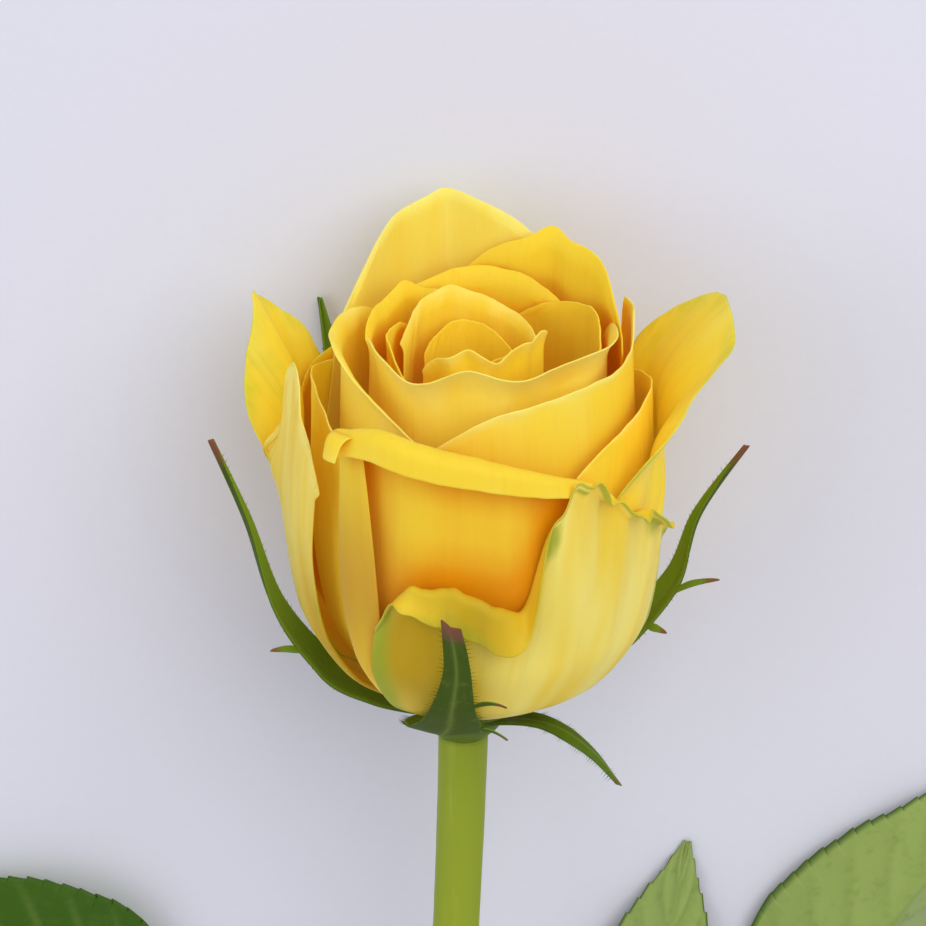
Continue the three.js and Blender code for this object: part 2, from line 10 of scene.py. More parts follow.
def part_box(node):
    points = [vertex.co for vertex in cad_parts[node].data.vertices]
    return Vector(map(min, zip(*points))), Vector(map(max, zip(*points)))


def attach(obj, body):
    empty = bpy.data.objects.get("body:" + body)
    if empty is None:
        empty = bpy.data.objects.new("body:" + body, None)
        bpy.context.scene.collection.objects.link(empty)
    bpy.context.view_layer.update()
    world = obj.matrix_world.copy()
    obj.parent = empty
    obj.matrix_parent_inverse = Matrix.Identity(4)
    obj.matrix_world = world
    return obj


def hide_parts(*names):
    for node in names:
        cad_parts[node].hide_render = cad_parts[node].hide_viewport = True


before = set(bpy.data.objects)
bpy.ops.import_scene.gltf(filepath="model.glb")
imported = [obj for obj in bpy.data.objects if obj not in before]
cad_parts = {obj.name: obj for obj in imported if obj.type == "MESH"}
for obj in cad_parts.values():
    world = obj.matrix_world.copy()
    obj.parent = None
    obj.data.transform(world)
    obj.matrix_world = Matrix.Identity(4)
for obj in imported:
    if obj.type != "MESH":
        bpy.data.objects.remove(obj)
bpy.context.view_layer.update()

# The rose is worked out upright, in millimetres from the middle of the foot of its hip: +z up the
# bloom, -y to its front. toWorld lays it down as the frame has it.
rose = {
    "bloomRadius": 24.2,
    "bloomHeight": 67.0,
    "bloomShift": 1.2,
    "shiftHeight": 6.0,
    "hipRadius": 5.2,
    "hipHeight": 5.6,
    "hipCrown": 7.0,  # how much higher the innermost petals are seated
    "hipWidest": 3,  # how far above its foot
    "neckRadius": 3.1,
    "stemRadius": 2.5,
    "stemLength": 285.0,
}
mm = 0.001


def hipFoot():
    low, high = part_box("hip")
    tilt = 0.07
    for step in range(4):  # the lean and the height settle each other
        rise = low.z / mm + rose["hipRadius"] * math.cos(tilt) - rose["hipWidest"] * math.sin(tilt)
        tilt = math.asin((rise - rose["stemRadius"]) / rose["stemLength"])
    foot = (
        (low.x + high.x) / 2 / mm,
        low.y / mm + rose["neckRadius"] * math.sin(tilt),
        rise,
    )
    return tilt, np.array(foot)


tilt, foot = hipFoot()
lay = np.array([
    [1, 0, 0],
    [0, math.sin(tilt), math.cos(tilt)],
    [0, -math.cos(tilt), math.sin(tilt)],
])


def toWorld(points):
    return (points @ lay.T + foot) * mm


print(f"hip foot at {np.round(foot, 2)} mm, leaning {math.degrees(tilt):.2f} degrees")


# Rows of values are read as smooth curves, at a share from 0 to 1
def along(values, share):
    values = np.asarray(values, float)
    share = np.asarray(share, float)
    last = len(values) - 1
    at = np.clip(share, 0, 1) * last
    i = np.minimum(at.astype(int), last - 1)
    t = at - i
    a, b = values[i], values[i + 1]
    slopeA = (b - values[np.maximum(i - 1, 0)]) / 2
    slopeB = (values[np.minimum(i + 2, last)] - a) / 2
    start = a * (2 * t**3 - 3 * t**2 + 1) + slopeA * (t**3 - 2 * t**2 + t)
    return start + b * (3 * t**2 - 2 * t**3) + slopeB * (t**3 - t**2)


def across(values, u):
    return along(values, (u + 1) / 2)


def hump(x, middle, width):
    return np.exp(-(((x - middle) / width) ** 2))


def ripple(x, seed):  # an uneven wave, about -1 to 1
    total = 0
    for n, pitch in enumerate((2.3, 5.1, 8.7, 13.9, 21.1)):
        total = total + math.cos(seed * (n + 1.7)) * np.sin(pitch * x + seed * (2 * n + 1)) / (1 + 0.5 * n)
    return total / 2


def smooth(low, high, x):
    t = np.clip((x - low) / (high - low), 0, 1)
    return t * t * (3 - 2 * t)


def unit(vectors):
    return vectors / np.linalg.norm(vectors, axis=-1, keepdims=True)


def putMark(mesh, name, values):
    layer = mesh.attributes.new(name, "FLOAT", "POINT")
    layer.data.foreach_set("value", values.astype(np.float32))


def inScene(name, data):
    piece = bpy.data.objects.new(name, data)
    bpy.context.scene.collection.objects.link(piece)
    return piece


# The outline of the closed bloom: shares of its height, and of its radius there
outline = {
    "heights": [0.09, 0.12, 0.18, 0.28, 0.45, 0.65, 0.85, 1.05],
    "radii": [0.93 * rose["hipRadius"] / rose["bloomRadius"], 0.48, 0.76, 0.93, 1.0, 0.985, 0.96, 0.93],
}


def outlineRadius(z):
    heights = outline["heights"]
    last = len(heights) - 1
    share = np.interp(z / rose["bloomHeight"], heights, np.arange(last + 1) / last)
    return rose["bloomRadius"] * along(outline["radii"], share)


def place(azimuth, radius, z):  # azimuth 0 is the front, 90 the right
    a = np.radians(azimuth)
    lean = np.clip((z - rose["hipHeight"]) / rose["shiftHeight"], 0, 1)
    x = radius * np.sin(a) + rose["bloomShift"] * lean
    return np.stack([x, -radius * np.cos(a), z + 0 * a], axis=-1)


class Wire:  # a node's output, so that shader maths can be written as sums
    def __init__(self, tree, socket=None):
        self.tree = tree
        self.socket = socket

    def node(self, kind, settings=None, sockets=None, output=0):
        made = self.tree.nodes.new(kind)
        for name, value in (settings or {}).items():
            setattr(made, name, value)
        for name, value in (sockets or {}).items():
            if isinstance(value, Wire):
                self.tree.links.new(value.socket, made.inputs[name])
            else:
                made.inputs[name].default_value = value
        return Wire(self.tree, made.outputs[output])

    def maths(self, operation, *values):
        return self.node("ShaderNodeMath", {"operation": operation}, dict(enumerate(values)))

    def __add__(self, other):
        return self.maths("ADD", self, other)

    def __radd__(self, other):
        return self.maths("ADD", other, self)

    def __sub__(self, other):
        return self.maths("SUBTRACT", self, other)

    def __rsub__(self, other):
        return self.maths("SUBTRACT", other, self)

    def __mul__(self, other):
        return self.maths("MULTIPLY", self, other)

    def __rmul__(self, other):
        return self.maths("MULTIPLY", other, self)

    def between(self, low, high):  # 0 below low, 1 above high
        sockets = {"Value": self, "From Min": low, "From Max": high}
        return self.node("ShaderNodeMapRange", {"interpolation_type": "SMOOTHSTEP"}, sockets)

    def mixed(self, a, b, share):  # two colours
        settings = {"data_type": "RGBA"}
        return self.node("ShaderNodeMix", settings, {0: share, 6: a, 7: b}, output=2)

    def scaled(self, vector, sizes):
        return self.node("ShaderNodeVectorMath", {"operation": "MULTIPLY"}, {0: vector, 1: sizes})

    def noise(self, vector, scale, detail=2.0, rough=0.5):
        sockets = {"Vector": vector, "Scale": scale, "Detail": detail, "Roughness": rough}
        return self.node("ShaderNodeTexNoise", {}, sockets)

    def attribute(self, name):
        return self.node("ShaderNodeAttribute", {"attribute_name": name}, output="Fac")

    def bump(self, height, strength, distance):
        sockets = {"Height": height, "Strength": strength, "Distance": distance}
        return self.node("ShaderNodeBump", {}, sockets)


def material(name, fixed):
    made = bpy.data.materials.new(name)
    made.use_nodes = True
    shader = made.node_tree.nodes["Principled BSDF"]
    for socket, value in fixed.items():
        shader.inputs[socket].default_value = value
    wire = Wire(made.node_tree)

    def plug(socket, value):
        made.node_tree.links.new(value.socket, shader.inputs[socket])

    return made, wire, plug


def rgb(red, green, blue):  # screen colour, 0 to 255, as the shader takes it
    shares = [c / 255 for c in (red, green, blue)]
    return tuple(s / 12.92 if s <= 0.04045 else ((s + 0.055) / 1.055) ** 2.4 for s in shares) + (1.0,)


petalLook = {
    "yellow": rgb(254, 216, 56),
    # the orange of the painted shade in closed-in places, also the tint of the veins
    "paintedShade": rgb(240, 152, 2),
    "pale": rgb(255, 245, 130),
    "green": rgb(186, 194, 44),
    "foot": rgb(226, 208, 116),
    "dull": rgb(200, 150, 46),
    "speck": rgb(122, 74, 16),
    "roughness": 0.5,
    "glow": 0.25,
    "through": 0.045,  # painted glow: emission that stands in for light coming through the petals
    "glowDepth": 0.0022,
    "veins": 46.0,
    "patches": 140.0,
    "specks": 95.0,
    "speckRare": (0.972, 0.98),
    "speckSize": (0.035, 0.075),
    "relief": 0.32,
    "reliefDepth": 0.00035,
    "paleShare": 0.85,
    "footShare": 0.55,
    "greenShare": 0.85,
    "veinShare": 0.1,
    "speckShare": 0.8,
    "roughnessChange": 0.16,
}


def petalMaterial(name, look, streaks):
    fixed = {
        "Subsurface Weight": look["glow"],
        "Subsurface Radius": (1.0, 0.5, 0.08),
        "Subsurface Scale": look["glowDepth"],
        "Specular IOR Level": 0.16,
        "Emission Strength": look["through"],
    }
    made, wire, plug = material(name, fixed)
    uv = wire.node("ShaderNodeUVMap", {"uv_map": "petalUv"})
    spot = wire.node("ShaderNodeTexCoord", output="Object")
    fine = wire.noise(wire.scaled(uv, (look["veins"], 2.4, 0)), 1.0, 3.0, 0.6)
    broad = wire.noise(wire.scaled(uv, (7.0, 1.7, 0)), 1.0, 2.0, 0.5)
    patch = wire.noise(spot, look["patches"], 3.0, 0.55)
    paintedShade = wire.attribute("paintedShade")
    green = wire.attribute("green")
    pale = wire.attribute("pale")
    # painted shade: the yellow turns to the orange shade colour where the face is closed in
    shade = (paintedShade + (broad - 0.5) * 0.25).between(0.3, 1.0)
    colour = wire.mixed(look["yellow"], look["paintedShade"], shade)
    # the pale share: the petal's own paler colour and streaks, and the painted highlight on its rims
    paleAndHighlight = (pale + (broad - 0.5) * streaks + (fine - 0.5) * 0.15).between(0.25, 0.95)
    colour = wire.mixed(colour, look["pale"], paleAndHighlight * look["paleShare"])
    foot = wire.attribute("rise").between(0.3, 0.02)
    colour = wire.mixed(colour, look["foot"], foot * look["footShare"])
    # dull patches turn the colour a browner tan, partly the petal's own colour and partly painted shade
    dull = (wire.attribute("dull") + (broad - 0.5) * 0.4).between(0.1, 1.0)
    colour = wire.mixed(colour, look["dull"], dull)
    tinge = (green + (patch - 0.5) * 0.7 + (fine - 0.5) * 0.3).between(0.3, 0.85)
    colour = wire.mixed(colour, look["green"], tinge * look["greenShare"])
    # the veins take the same orange as the painted shade
    veined = (fine - 0.5).between(0.02, 0.2) * look["veinShare"]
    colour = wire.mixed(colour, look["paintedShade"], veined)
    cell = {"Vector": spot, "Scale": look["specks"]}
    away = wire.node("ShaderNodeTexVoronoi", {}, cell)
    chosen = wire.node("ShaderNodeTexVoronoi", {}, cell, output="Color")
    rare = wire.node("ShaderNodeSeparateColor", {}, {"Color": chosen}).between(*look["speckRare"])
    speck = (1 - away.between(*look["speckSize"])) * rare
    colour = wire.mixed(colour, look["speck"], speck * look["speckShare"])
    plug("Base Color", colour)
    # painted glow: the petal's colour is emitted as well, faintly
    plug("Emission Color", colour)
    plug("Roughness", look["roughness"] + (patch - 0.5) * look["roughnessChange"])
    plug("Normal", wire.bump(fine * 0.7 + patch * 0.5, look["relief"], look["reliefDepth"]))
    return made


petalStuff = petalMaterial("petalYellow", petalLook, 0.5)
guardStuff = petalMaterial("petalGuard", petalLook | {
    "yellow": rgb(246, 204, 52),
    # the guard petals' orange of the painted shade
    "paintedShade": rgb(206, 146, 10),
    "pale": rgb(255, 236, 128),
    "dull": rgb(194, 158, 22),
    "green": rgb(156, 172, 44),
    "veins": 30.0,
}, 1.7)
print("petal materials ready")


greenBody = {
    "glow": 0.12,
    "glowReach": (0.5, 1.0, 0.2),
    "glowDepth": 0.001,
    "brownShare": 0.85,
    "roughnessChange": 0.2,
    "reliefDepth": 0.0003,
}


def greenMaterial(name, look):
    fixed = {
        "Subsurface Weight": greenBody["glow"],
        "Subsurface Radius": greenBody["glowReach"],
        "Subsurface Scale": greenBody["glowDepth"],
        "Specular IOR Level": look["shine"],
    }
    made, wire, plug = material(name, fixed)
    spot = wire.node("ShaderNodeTexCoord", output="Object")
    stretch = wire.scaled(spot, look.get("stretch", (1, 1, 1)))
    fine = wire.noise(stretch, look["grain"], 4.0, 0.6)
    broad = wire.noise(spot, 60.0, 2.0, 0.5)
    inner = wire.attribute("inner")
    colour = wire.mixed(look["outside"], look["inside"], inner)
    colour = wire.mixed(colour, look["light"], (fine - 0.5).between(0.0, 0.3) * look["mottle"])
    vein = wire.attribute("vein")
    colour = wire.mixed(colour, look["vein"], vein * look["veinShare"])
    brown = (wire.attribute("brown") + (broad - 0.5) * 0.8).between(0.35, 0.8)
    colour = wire.mixed(colour, look["brown"], brown * greenBody["brownShare"])
    plug("Base Color", colour)
    plug("Roughness", look["roughness"] + (fine - 0.5) * greenBody["roughnessChange"])
    height = fine + vein * look["veinRelief"]
    plug("Normal", wire.bump(height, look["relief"], greenBody["reliefDepth"]))
    return made


stemLook = {
    "outside": rgb(150, 166, 42),
    "inside": rgb(214, 214, 150),
    "light": rgb(178, 194, 80),
    "vein": rgb(104, 126, 28),
    "brown": rgb(140, 64, 44),
    "grain": 700.0,
    "stretch": (1, 0.05, 1),
    "mottle": 0.5,
    "veinShare": 0.3,
    "veinRelief": 0.0,
    "roughness": 0.46,
    "relief": 0.18,
    "shine": 0.22,
}
stemStuff = greenMaterial("stemGreen", stemLook)
hipStuff = greenMaterial("hipGreen", stemLook | {
    "outside": rgb(92, 116, 26),
    "light": rgb(120, 142, 44),
})
sepalStuff = greenMaterial("sepalGreen", {
    "outside": rgb(66, 88, 8),
    "inside": rgb(120, 152, 44),
    "light": rgb(122, 138, 66),
    "vein": rgb(128, 146, 62),
    "brown": rgb(134, 78, 62),
    "grain": 900.0,
    "mottle": 0.35,
    "veinShare": 0.5,
    "veinRelief": 0.4,
    "roughness": 0.58,
    "relief": 0.3,
    "shine": 0.14,
})
leafStuff = greenMaterial("leafGreen", {
    "outside": rgb(60, 98, 6),
    "inside": rgb(150, 172, 92),
    "light": rgb(92, 124, 40),
    "vein": rgb(124, 148, 66),
    "brown": rgb(120, 70, 50),
    "grain": 500.0,
    "mottle": 0.35,
    "veinShare": 0.55,
    "veinRelief": 1.0,
    "roughness": 0.4,
    "relief": 0.45,
    "shine": 0.22,
})
print("green materials ready")


def gridNormals(grid):
    normals = np.cross(np.gradient(grid, axis=0), np.gradient(grid, axis=1))
    return normals / np.maximum(np.linalg.norm(normals, axis=2, keepdims=True), 1e-9)


def gridQuads(columns, rows):
    corner = np.arange(columns * rows).reshape(columns, rows)
    a, b = corner[:-1, :-1], corner[1:, :-1]
    c, d = corner[1:, 1:], corner[:-1, 1:]
    return np.stack([a, b, c, d], axis=-1).reshape(-1, 4), corner


def sheetMesh(name, grid, thickness, marks, world=True):
    # marks holds, for each named attribute, its values on the outer and on the inner face
    columns, rows = grid.shape[:2]
    half = (gridNormals(grid) * np.broadcast_to(thickness, (columns, rows))[..., None]) / 2
    points = np.concatenate([(grid + half).reshape(-1, 3), (grid - half).reshape(-1, 3)])
    quads, corner = gridQuads(columns, rows)
    under = columns * rows
    rim = np.concatenate([corner[:-1, 0], corner[-1, :-1], corner[:0:-1, -1], corner[0, :0:-1]])
    after = np.roll(rim, -1)
    edge = np.stack([rim, under + rim, under + after, after], axis=-1)
    faces = np.concatenate([quads, under + quads[:, ::-1], edge])
    mesh = bpy.data.meshes.new(name)
    mesh.from_pydata((toWorld(points) if world else points * mm).tolist(), [], faces.tolist())
    u = np.repeat(np.linspace(0, 1, columns), rows)
    v = np.tile(np.linspace(0, 1, rows), columns)
    uv = np.tile(np.stack([u, v], axis=-1), (2, 1))
    layer = mesh.uv_layers.new(name="petalUv")
    layer.data.foreach_set("uv", uv[faces.ravel()].ravel().astype(np.float32))
    for mark, (outer, inner) in marks.items():
        sides = [np.broadcast_to(side, (columns, rows)).ravel() for side in (outer, inner)]
        putMark(mesh, mark, np.concatenate(sides))
    return mesh


def finished(mesh, stuff, nodes, subdivide=0):
    mesh.shade_smooth()
    mesh.materials.append(stuff)
    piece = inScene(mesh.name, mesh)
    if subdivide:
        modifier = piece.modifiers.new("smooth", "SUBSURF")
        modifier.levels = subdivide
        modifier.render_levels = subdivide
    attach(piece, "root")
    if nodes:
        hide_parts(*nodes)
    return piece


# From the innermost outwards. layer is the share of the outline's radius, height where the petal
# stops standing, lip its length past that and turn how far the lip bends outwards, each from the
# left edge to the right; bend is the share of the lip that the turn takes. left and right are the
# azimuths of the edges, from the foot to the lip's end. bumps raise the top, [where across, how
# far, how wide], and folds push the face out the same way. wave ruffles the rim, [size, how many,
# phase], and ragged makes it uneven. roll folds one side edge outwards, [side, radius, reach back
# over the face]. pale and green are colour shares, and inside is the share of the pale that the
# inner face gets. spots are patches of green, [across, up, size]. sheltered is how much painted
# shade a closed-in face gets, shade patches add more painted shade, and dull patches are a browner
# tan, partly the petal's own colour and partly painted shade, both [across, up, size, how much].
# Lengths are in mm and turns in degrees.
petals = [
    {"name": "petal_core_1", "layer": [0.07, 0.09, 0.13], "height": [47, 49, 50], "lip": [1, 1, 1],
     "turn": [0, 5, 10], "left": [150, 90, 60, 50, 50, 51], "right": [210, 270, 320, 340, 345, 344]},
    {"name": "petal_core_2", "layer": [0.17, 0.19, 0.2], "height": [48, 49.5, 51], "lip": [1.5, 2, 2],
     "turn": [5, 15, 30], "left": [-20, -80, -90, -95, -95, -94], "right": [60, 90, 100, 100, 95, 94],
     "wave": [0.25, 3, 1.0]},
    {"name": "petal_core_3", "layer": [0.24, 0.26, 0.26], "height": [49, 51, 50], "lip": [1.5, 2, 2],
     "turn": [0, 5, 0], "left": [150, 120, 110, 110, 115, 116], "right": [200, 240, 255, 255, 250, 249],
     "wave": [0.2, 2, 0.3]},
    {"name": "petal_core_4", "layer": [0.3, 0.33, 0.35], "height": [51, 51.8, 51.6, 54],
     "lip": [2, 2.5, 3], "turn": [15, 35, 25], "left": [-10, -45, -60, -60, -55, -54],
     "right": [40, 72, 80, 82, 80, 79],
     "bumps": [[-0.25, 0.9, 0.16], [0.12, -0.7, 0.12], [0.42, 0.8, 0.14], [0.7, -0.8, 0.12]],
     "wave": [0.35, 4, 0.5], "pale": 0.25},
    {"name": "petal_inner_1", "layer": [0.38, 0.37, 0.36], "height": [50, 53.5, 52], "lip": [2, 2.5, 2],
     "turn": [20, 45, 25], "left": [165, 135, 120, 115, 118, 119],
     "right": [215, 245, 262, 265, 262, 261], "bumps": [[0.1, 0.8, 0.12]], "wave": [0.3, 2, 0.0],
     "pale": 0.55},
    {"name": "petal_inner_2", "layer": [0.43, 0.43, 0.44], "height": [51, 51, 46], "lip": [2, 2.5, 2],
     "turn": [0, 10, 15], "left": [-100, -140, -150, -150, -140, -138],
     "right": [-50, -20, -5, -5, -25, -26]},
    {"name": "petal_inner_3", "layer": [0.66, 0.65, 0.55], "height": [50, 53.5, 50.5], "lip": [1, 1.5, 1],
     "turn": [0, 5, 0], "left": [85, 55, 45, 45, 55, 57], "right": [135, 165, 175, 178, 168, 166],
     "shade": [[0, 0.7, 0.9, 0.35]]},
    {"name": "petal_inner_4", "layer": [0.53, 0.53, 0.52], "height": [51, 53, 53.5], "lip": [2, 2.5, 2],
     "turn": [20, 45, 30], "left": [195, 165, 155, 155, 160, 161],
     "right": [240, 270, 282, 282, 275, 273], "bumps": [[0.05, 1.2, 0.14]]},
    {"name": "petal_inner_5", "layer": [0.55, 0.55, 0.56, 0.6, 0.66], "height": [53, 50, 50, 50.5, 52],
     "lip": [3.5, 4.5, 4.5, 4.5, 4], "turn": [20, 50, 55, 50, 40],
     "left": [-20, -62, -72, -76, -78, -78], "right": [35, 80, 100, 105, 105, 104],
     "bumps": [[-0.46, -1.1, 0.14], [-0.17, 1.5, 0.12], [0.1, -0.3, 0.12]], "wave": [0.4, 3, 0.4],
     "pale": 0.45, "sheltered": 0.8},
    {"name": "petal_middle_1", "layer": [0.62, 0.6, 0.6], "height": [51, 54, 52], "lip": [2, 3, 2],
     "turn": [15, 45, 20], "left": [150, 125, 115, 112, 118, 119],
     "right": [200, 225, 240, 240, 230, 228], "wave": [0.3, 2, 1.2]},
    {"name": "petal_middle_3", "layer": [0.63, 0.66, 0.69], "height": [50, 52, 51.5, 47.5, 43],
     "lip": [2, 3, 3.5, 2.5, 1.5], "turn": [10, 40, 60, 60, 50],
     "left": [-110, -140, -155, -158, -148, -146], "right": [-55, -20, -3, -3, -6, -7],
     "bumps": [[0.1, 1.0, 0.16]], "folds": [[0.1, 0.8, 0.2]], "pale": 0.5, "sheltered": 0.3},
    {"name": "petal_middle_2", "layer": [0.76, 0.73, 0.7], "height": [52, 56, 57.6, 55.6, 50],
     "lip": [2, 3, 3, 3, 2], "turn": [5, 25, 35, 25, 5], "left": [125, 90, 78, 76, 82, 84],
     "right": [175, 200, 212, 212, 202, 200], "bumps": [[0.1, 1.5, 0.1]],
     "folds": [[0.08, 1.1, 0.1], [0.35, -0.5, 0.2]], "wave": [0.4, 2, 0.9]},
    {"name": "petal_middle_4", "layer": [0.77, 0.78, 0.8, 0.82, 0.83], "height": [44, 49, 51, 51.5, 56],
     "lip": [1, 1.5, 1.5, 1.5, 2], "turn": [0, 10, 10, 10, 20], "left": [15, -15, -28, -30, -28, -28],
     "right": [70, 108, 118, 120, 112, 111], "bumps": [[0.72, 1.4, 0.08], [0.6, -0.8, 0.08]],
     "pale": 0.35, "sheltered": 0.8},
    {"name": "petal_middle_5", "layer": [0.82, 0.82, 0.8], "height": [51, 59.6, 62.4, 60, 51],
     "lip": [2, 2, 2, 2, 2], "turn": [10, 20, 30, 20, 10], "left": [160, 135, 126, 124, 134, 136],
     "right": [215, 245, 252, 250, 242, 240], "bumps": [[0.02, 0.7, 0.12]],
     "folds": [[0.02, 1.5, 0.09], [-0.35, -0.6, 0.25]], "wave": [0.5, 2, 0.2], "pale": 0.95},
    {"name": "petal_outer_1", "layer": [0.83, 0.81, 0.82], "height": [42, 45, 43], "lip": [2, 3, 2],
     "turn": [5, 10, 5], "left": [225, 212, 206, 206, 212, 213],
     "right": [255, 285, 325, 330, 320, 316], "wave": [0.4, 2, 0.7],
     "sheltered": 0.2, "pale": 0.2},
    {"name": "petal_outer_7", "layer": [0.91, 0.91, 0.91], "height": [44, 46, 43], "lip": [1, 2, 1],
     "turn": [0, 5, 0], "left": [50, 30, 24, 24, 32, 34], "right": [95, 128, 142, 142, 134, 132],
     "sheltered": 0.2, "pale": 0.15},
    {"name": "petal_outer_2", "layer": [0.98, 0.97, 0.96, 0.95, 0.93], "height": [38, 39, 40, 42, 42],
     "lip": [1.5, 10, 17.5, 16, 8], "turn": [20, 38, 44, 42, 24], "bend": 0.5,
     "left": [20, 30, 34, 36, 40, 42], "right": [45, 55, 66, 92, 126, 125],
     "bumps": [[0.4, 0.8, 0.2]], "sheltered": 0.4, "folds": [[0.1, -0.9, 0.12], [0.42, 0.9, 0.12]],
     "wave": [0.6, 3, 0.4], "pale": 0.3, "green": 0.8, "spots": [[0.7, 0.9, 0.14]]},
    {"name": "petal_outer_3", "layer": [0.95, 0.95, 0.95, 0.95, 0.95],
     "height": [50, 48.6, 47.4, 46, 44.4, 42.6, 41.8], "lip": [6, 7, 7, 6.5, 5.5, 4, 2],
     "turn": [165, 178, 178, 168, 130],
     "left": [-25, -33, -36, -37, -37, -37], "right": [15, 36, 44, 46, 44, 44], "bend": 0.7,
     "roll": [-1, 1.9, 3.8], "folds": [[-0.55, 0.5, 0.2]], "wave": [0.1, 2, 0.5],
     "pale": 0.1, "green": 0.15, "shade": [[-0.1, 0.45, 1.0, 0.58], [0.8, 0.6, 0.5, 0.1]],
     "dull": [[-1, 0.5, 0.4, 0.75], [0.2, 0.35, 0.7, 0.35]]},
    {"name": "petal_outer_4", "layer": [0.93, 0.92, 0.92], "height": [42, 46, 42], "lip": [3, 4, 3],
     "turn": [5, 10, 5], "left": [135, 128, 126, 126, 130, 131],
     "right": [170, 188, 198, 198, 192, 191], "wave": [0.5, 3, 0.3]},
    {"name": "petal_outer_6", "layer": [0.94, 0.93, 0.93], "height": [40, 44, 42], "lip": [3, 4, 3],
     "turn": [5, 10, 5], "left": [195, 182, 176, 176, 180, 181],
     "right": [240, 252, 256, 256, 250, 249], "wave": [0.5, 2, 0.8], "green": 0.2},
    {"name": "petal_outer_5", "layer": [0.97, 0.93, 0.89], "height": [40, 41, 40, 34, 28],
     "lip": [1.5, 10, 16, 12, 3], "turn": [5, 24, 34, 36, 16], "bend": 0.5,
     "left": [225, 215, 212, 214, 223, 225], "right": [258, 274, 288, 292, 284, 282],
     "wave": [0.5, 3, 0.9], "folds": [[0.1, -0.7, 0.2]], "bumps": [[0.0, 1.6, 0.14]],
     "pale": 0.3, "green": 0.9, "sheltered": 0.5,
     "spots": [[0.2, 0.98, 0.2]]},
    {"name": "petal_guard_1", "layer": [0.95, 0.94, 0.96], "height": [34, 43, 50, 46, 40],
     "lip": [1, 2, 3, 2, 1], "turn": [0, 10, 5, 0, 0], "left": [-75, -90, -100, -102, -94, -92],
     "right": [-44, -50, -55, -56, -54, -52], "folds": [[0.5, 0.9, 0.25], [-0.3, 0.8, 0.3]],
     "pale": 0.6, "green": 0.4, "spots": [[-0.8, 0.4, 0.3]],
     "dull": [[0.9, 0.3, 0.5, 0.9], [0, 0.05, 0.5, 0.6]], "sheltered": 0.5},
    {"name": "petal_guard_2", "layer": [1.03, 1.03, 1.03, 1.01, 0.98],
     "height": [26, 29, 31.4, 31.2, 31, 30, 28.2, 27, 35, 41.4, 43, 41, 38, 36.4, 34.6, 34, 33, 31],
     "lip": [1, 2, 4.5, 6, 7, 7.5, 7.5, 5, 1.6, 1.6, 2.2, 2.6, 2, 2.8, 2, 2.6, 2, 1],
     "turn": [20, 60, 165, 178, 172, 178, 165, 120, 50, 20, 60, 110, 60, 120, 60, 100, 60, 20],
     "bend": 0.35, "left": [-24, -29, -32, -32, -29, -28],
     "right": [40, 60, 72, 76, 76, 76],
     "columns": 91,
     "bumps": [[-0.04, 1.4, 0.03], [0.03, -0.8, 0.03], [0.08, 1.2, 0.025], [0.14, -1.0, 0.03],
               [0.19, 0.8, 0.02], [0.27, -1.3, 0.03], [0.42, -0.9, 0.06], [0.6, 1.2, 0.06]],
     "folds": [[-0.12, -1.5, 0.1], [0.16, 1.1, 0.07], [0.3, -0.6, 0.05], [0.42, 0.6, 0.05],
               [0.56, -0.4, 0.06], [0.7, 0.5, 0.05]],
     "wave": [0.4, 5, 0.4], "pale": 0.62, "inside": 0.1, "green": 0.9,
     "ragged": 0.5,
     "spots": [[-0.02, 0.78, 0.08], [0.12, 0.86, 0.07], [0.24, 0.95, 0.1],
               [0.5, 0.93, 0.1], [0.72, 0.85, 0.12], [-0.6, 0.98, 0.12], [-0.2, 0.95, 0.08]],
     "dull": [[-0.8, 0.6, 0.4, 1.0], [-0.3, 0.95, 0.35, 0.6], [-0.5, 0.2, 0.4, 0.5]]},
    {"name": "petal_guard_3", "layer": [1.0, 0.99, 0.99], "height": [34, 40, 36], "lip": [3, 4, 3],
     "turn": [5, 10, 5], "left": [140, 130, 124, 124, 130, 132],
     "right": [175, 195, 206, 206, 198, 196], "wave": [0.6, 3, 0.5], "pale": 0.6, "green": 0.5,
     "spots": [[0.0, 0.3, 0.5]]},
]
petalMesh = {
    "columns": 45,
    "edgeCrowding": 0.3,  # how much closer the columns are at the side edges
    "standRows": 30,
    "lipRows": 12,
    "standing": 0.8,  # the share of v where the lip starts
    "crowding": 1.25,  # how much closer the rows are near the foot
    "cornerDrop": 2.2,
    "cornerSharpness": 6,
    "rollShare": 0.2,  # of the columns, for a rolled edge
    "rollDepth": 0.45,  # how far it stands out, as a share of a round roll
    "ragged": 0.22,  # unevenness of the rim, mm
    "thickness": 0.22,
    "footThickness": 0.75,
    "unevenness": 0.2,  # of the whole face, mm
    "seatGap": 0.3,  # above the hip, mm
    "slopeLimits": (-0.3, 0.6),  # how far the lip may start off upright, radians
    "lipSteps": 12,
    "clear": 0.5,  # between one petal's middle and the next
    "rayReach": 70,  # from outside the bloom to its axis, mm
    "pushLimit": 9,  # mm; past it, what was met is a lip that hangs outside the sheet
    "pushPasses": 14,
    "sideMargin": 0.72,  # where green starts, across and up
    "topMargin": 0.86,
    "rimFrom": 0.9,  # where the rim's painted highlight starts
    "rimHighlight": 0.2,
    "rimLift": 0.6,  # how much less painted shade the rim gets
}
# rays that measure how closed in each face of a petal is, for its painted shade
shelterRays = {
    "start": 0.35,  # off the face, mm
    "reach": 13.0,
    "fade": 0.8,  # how much less a hit counts at full reach
    "rings": [(0.0, 1), (0.55, 5), (1.05, 6)],  # lean from the normal, and how many rays
    "strength": 1.15,
}


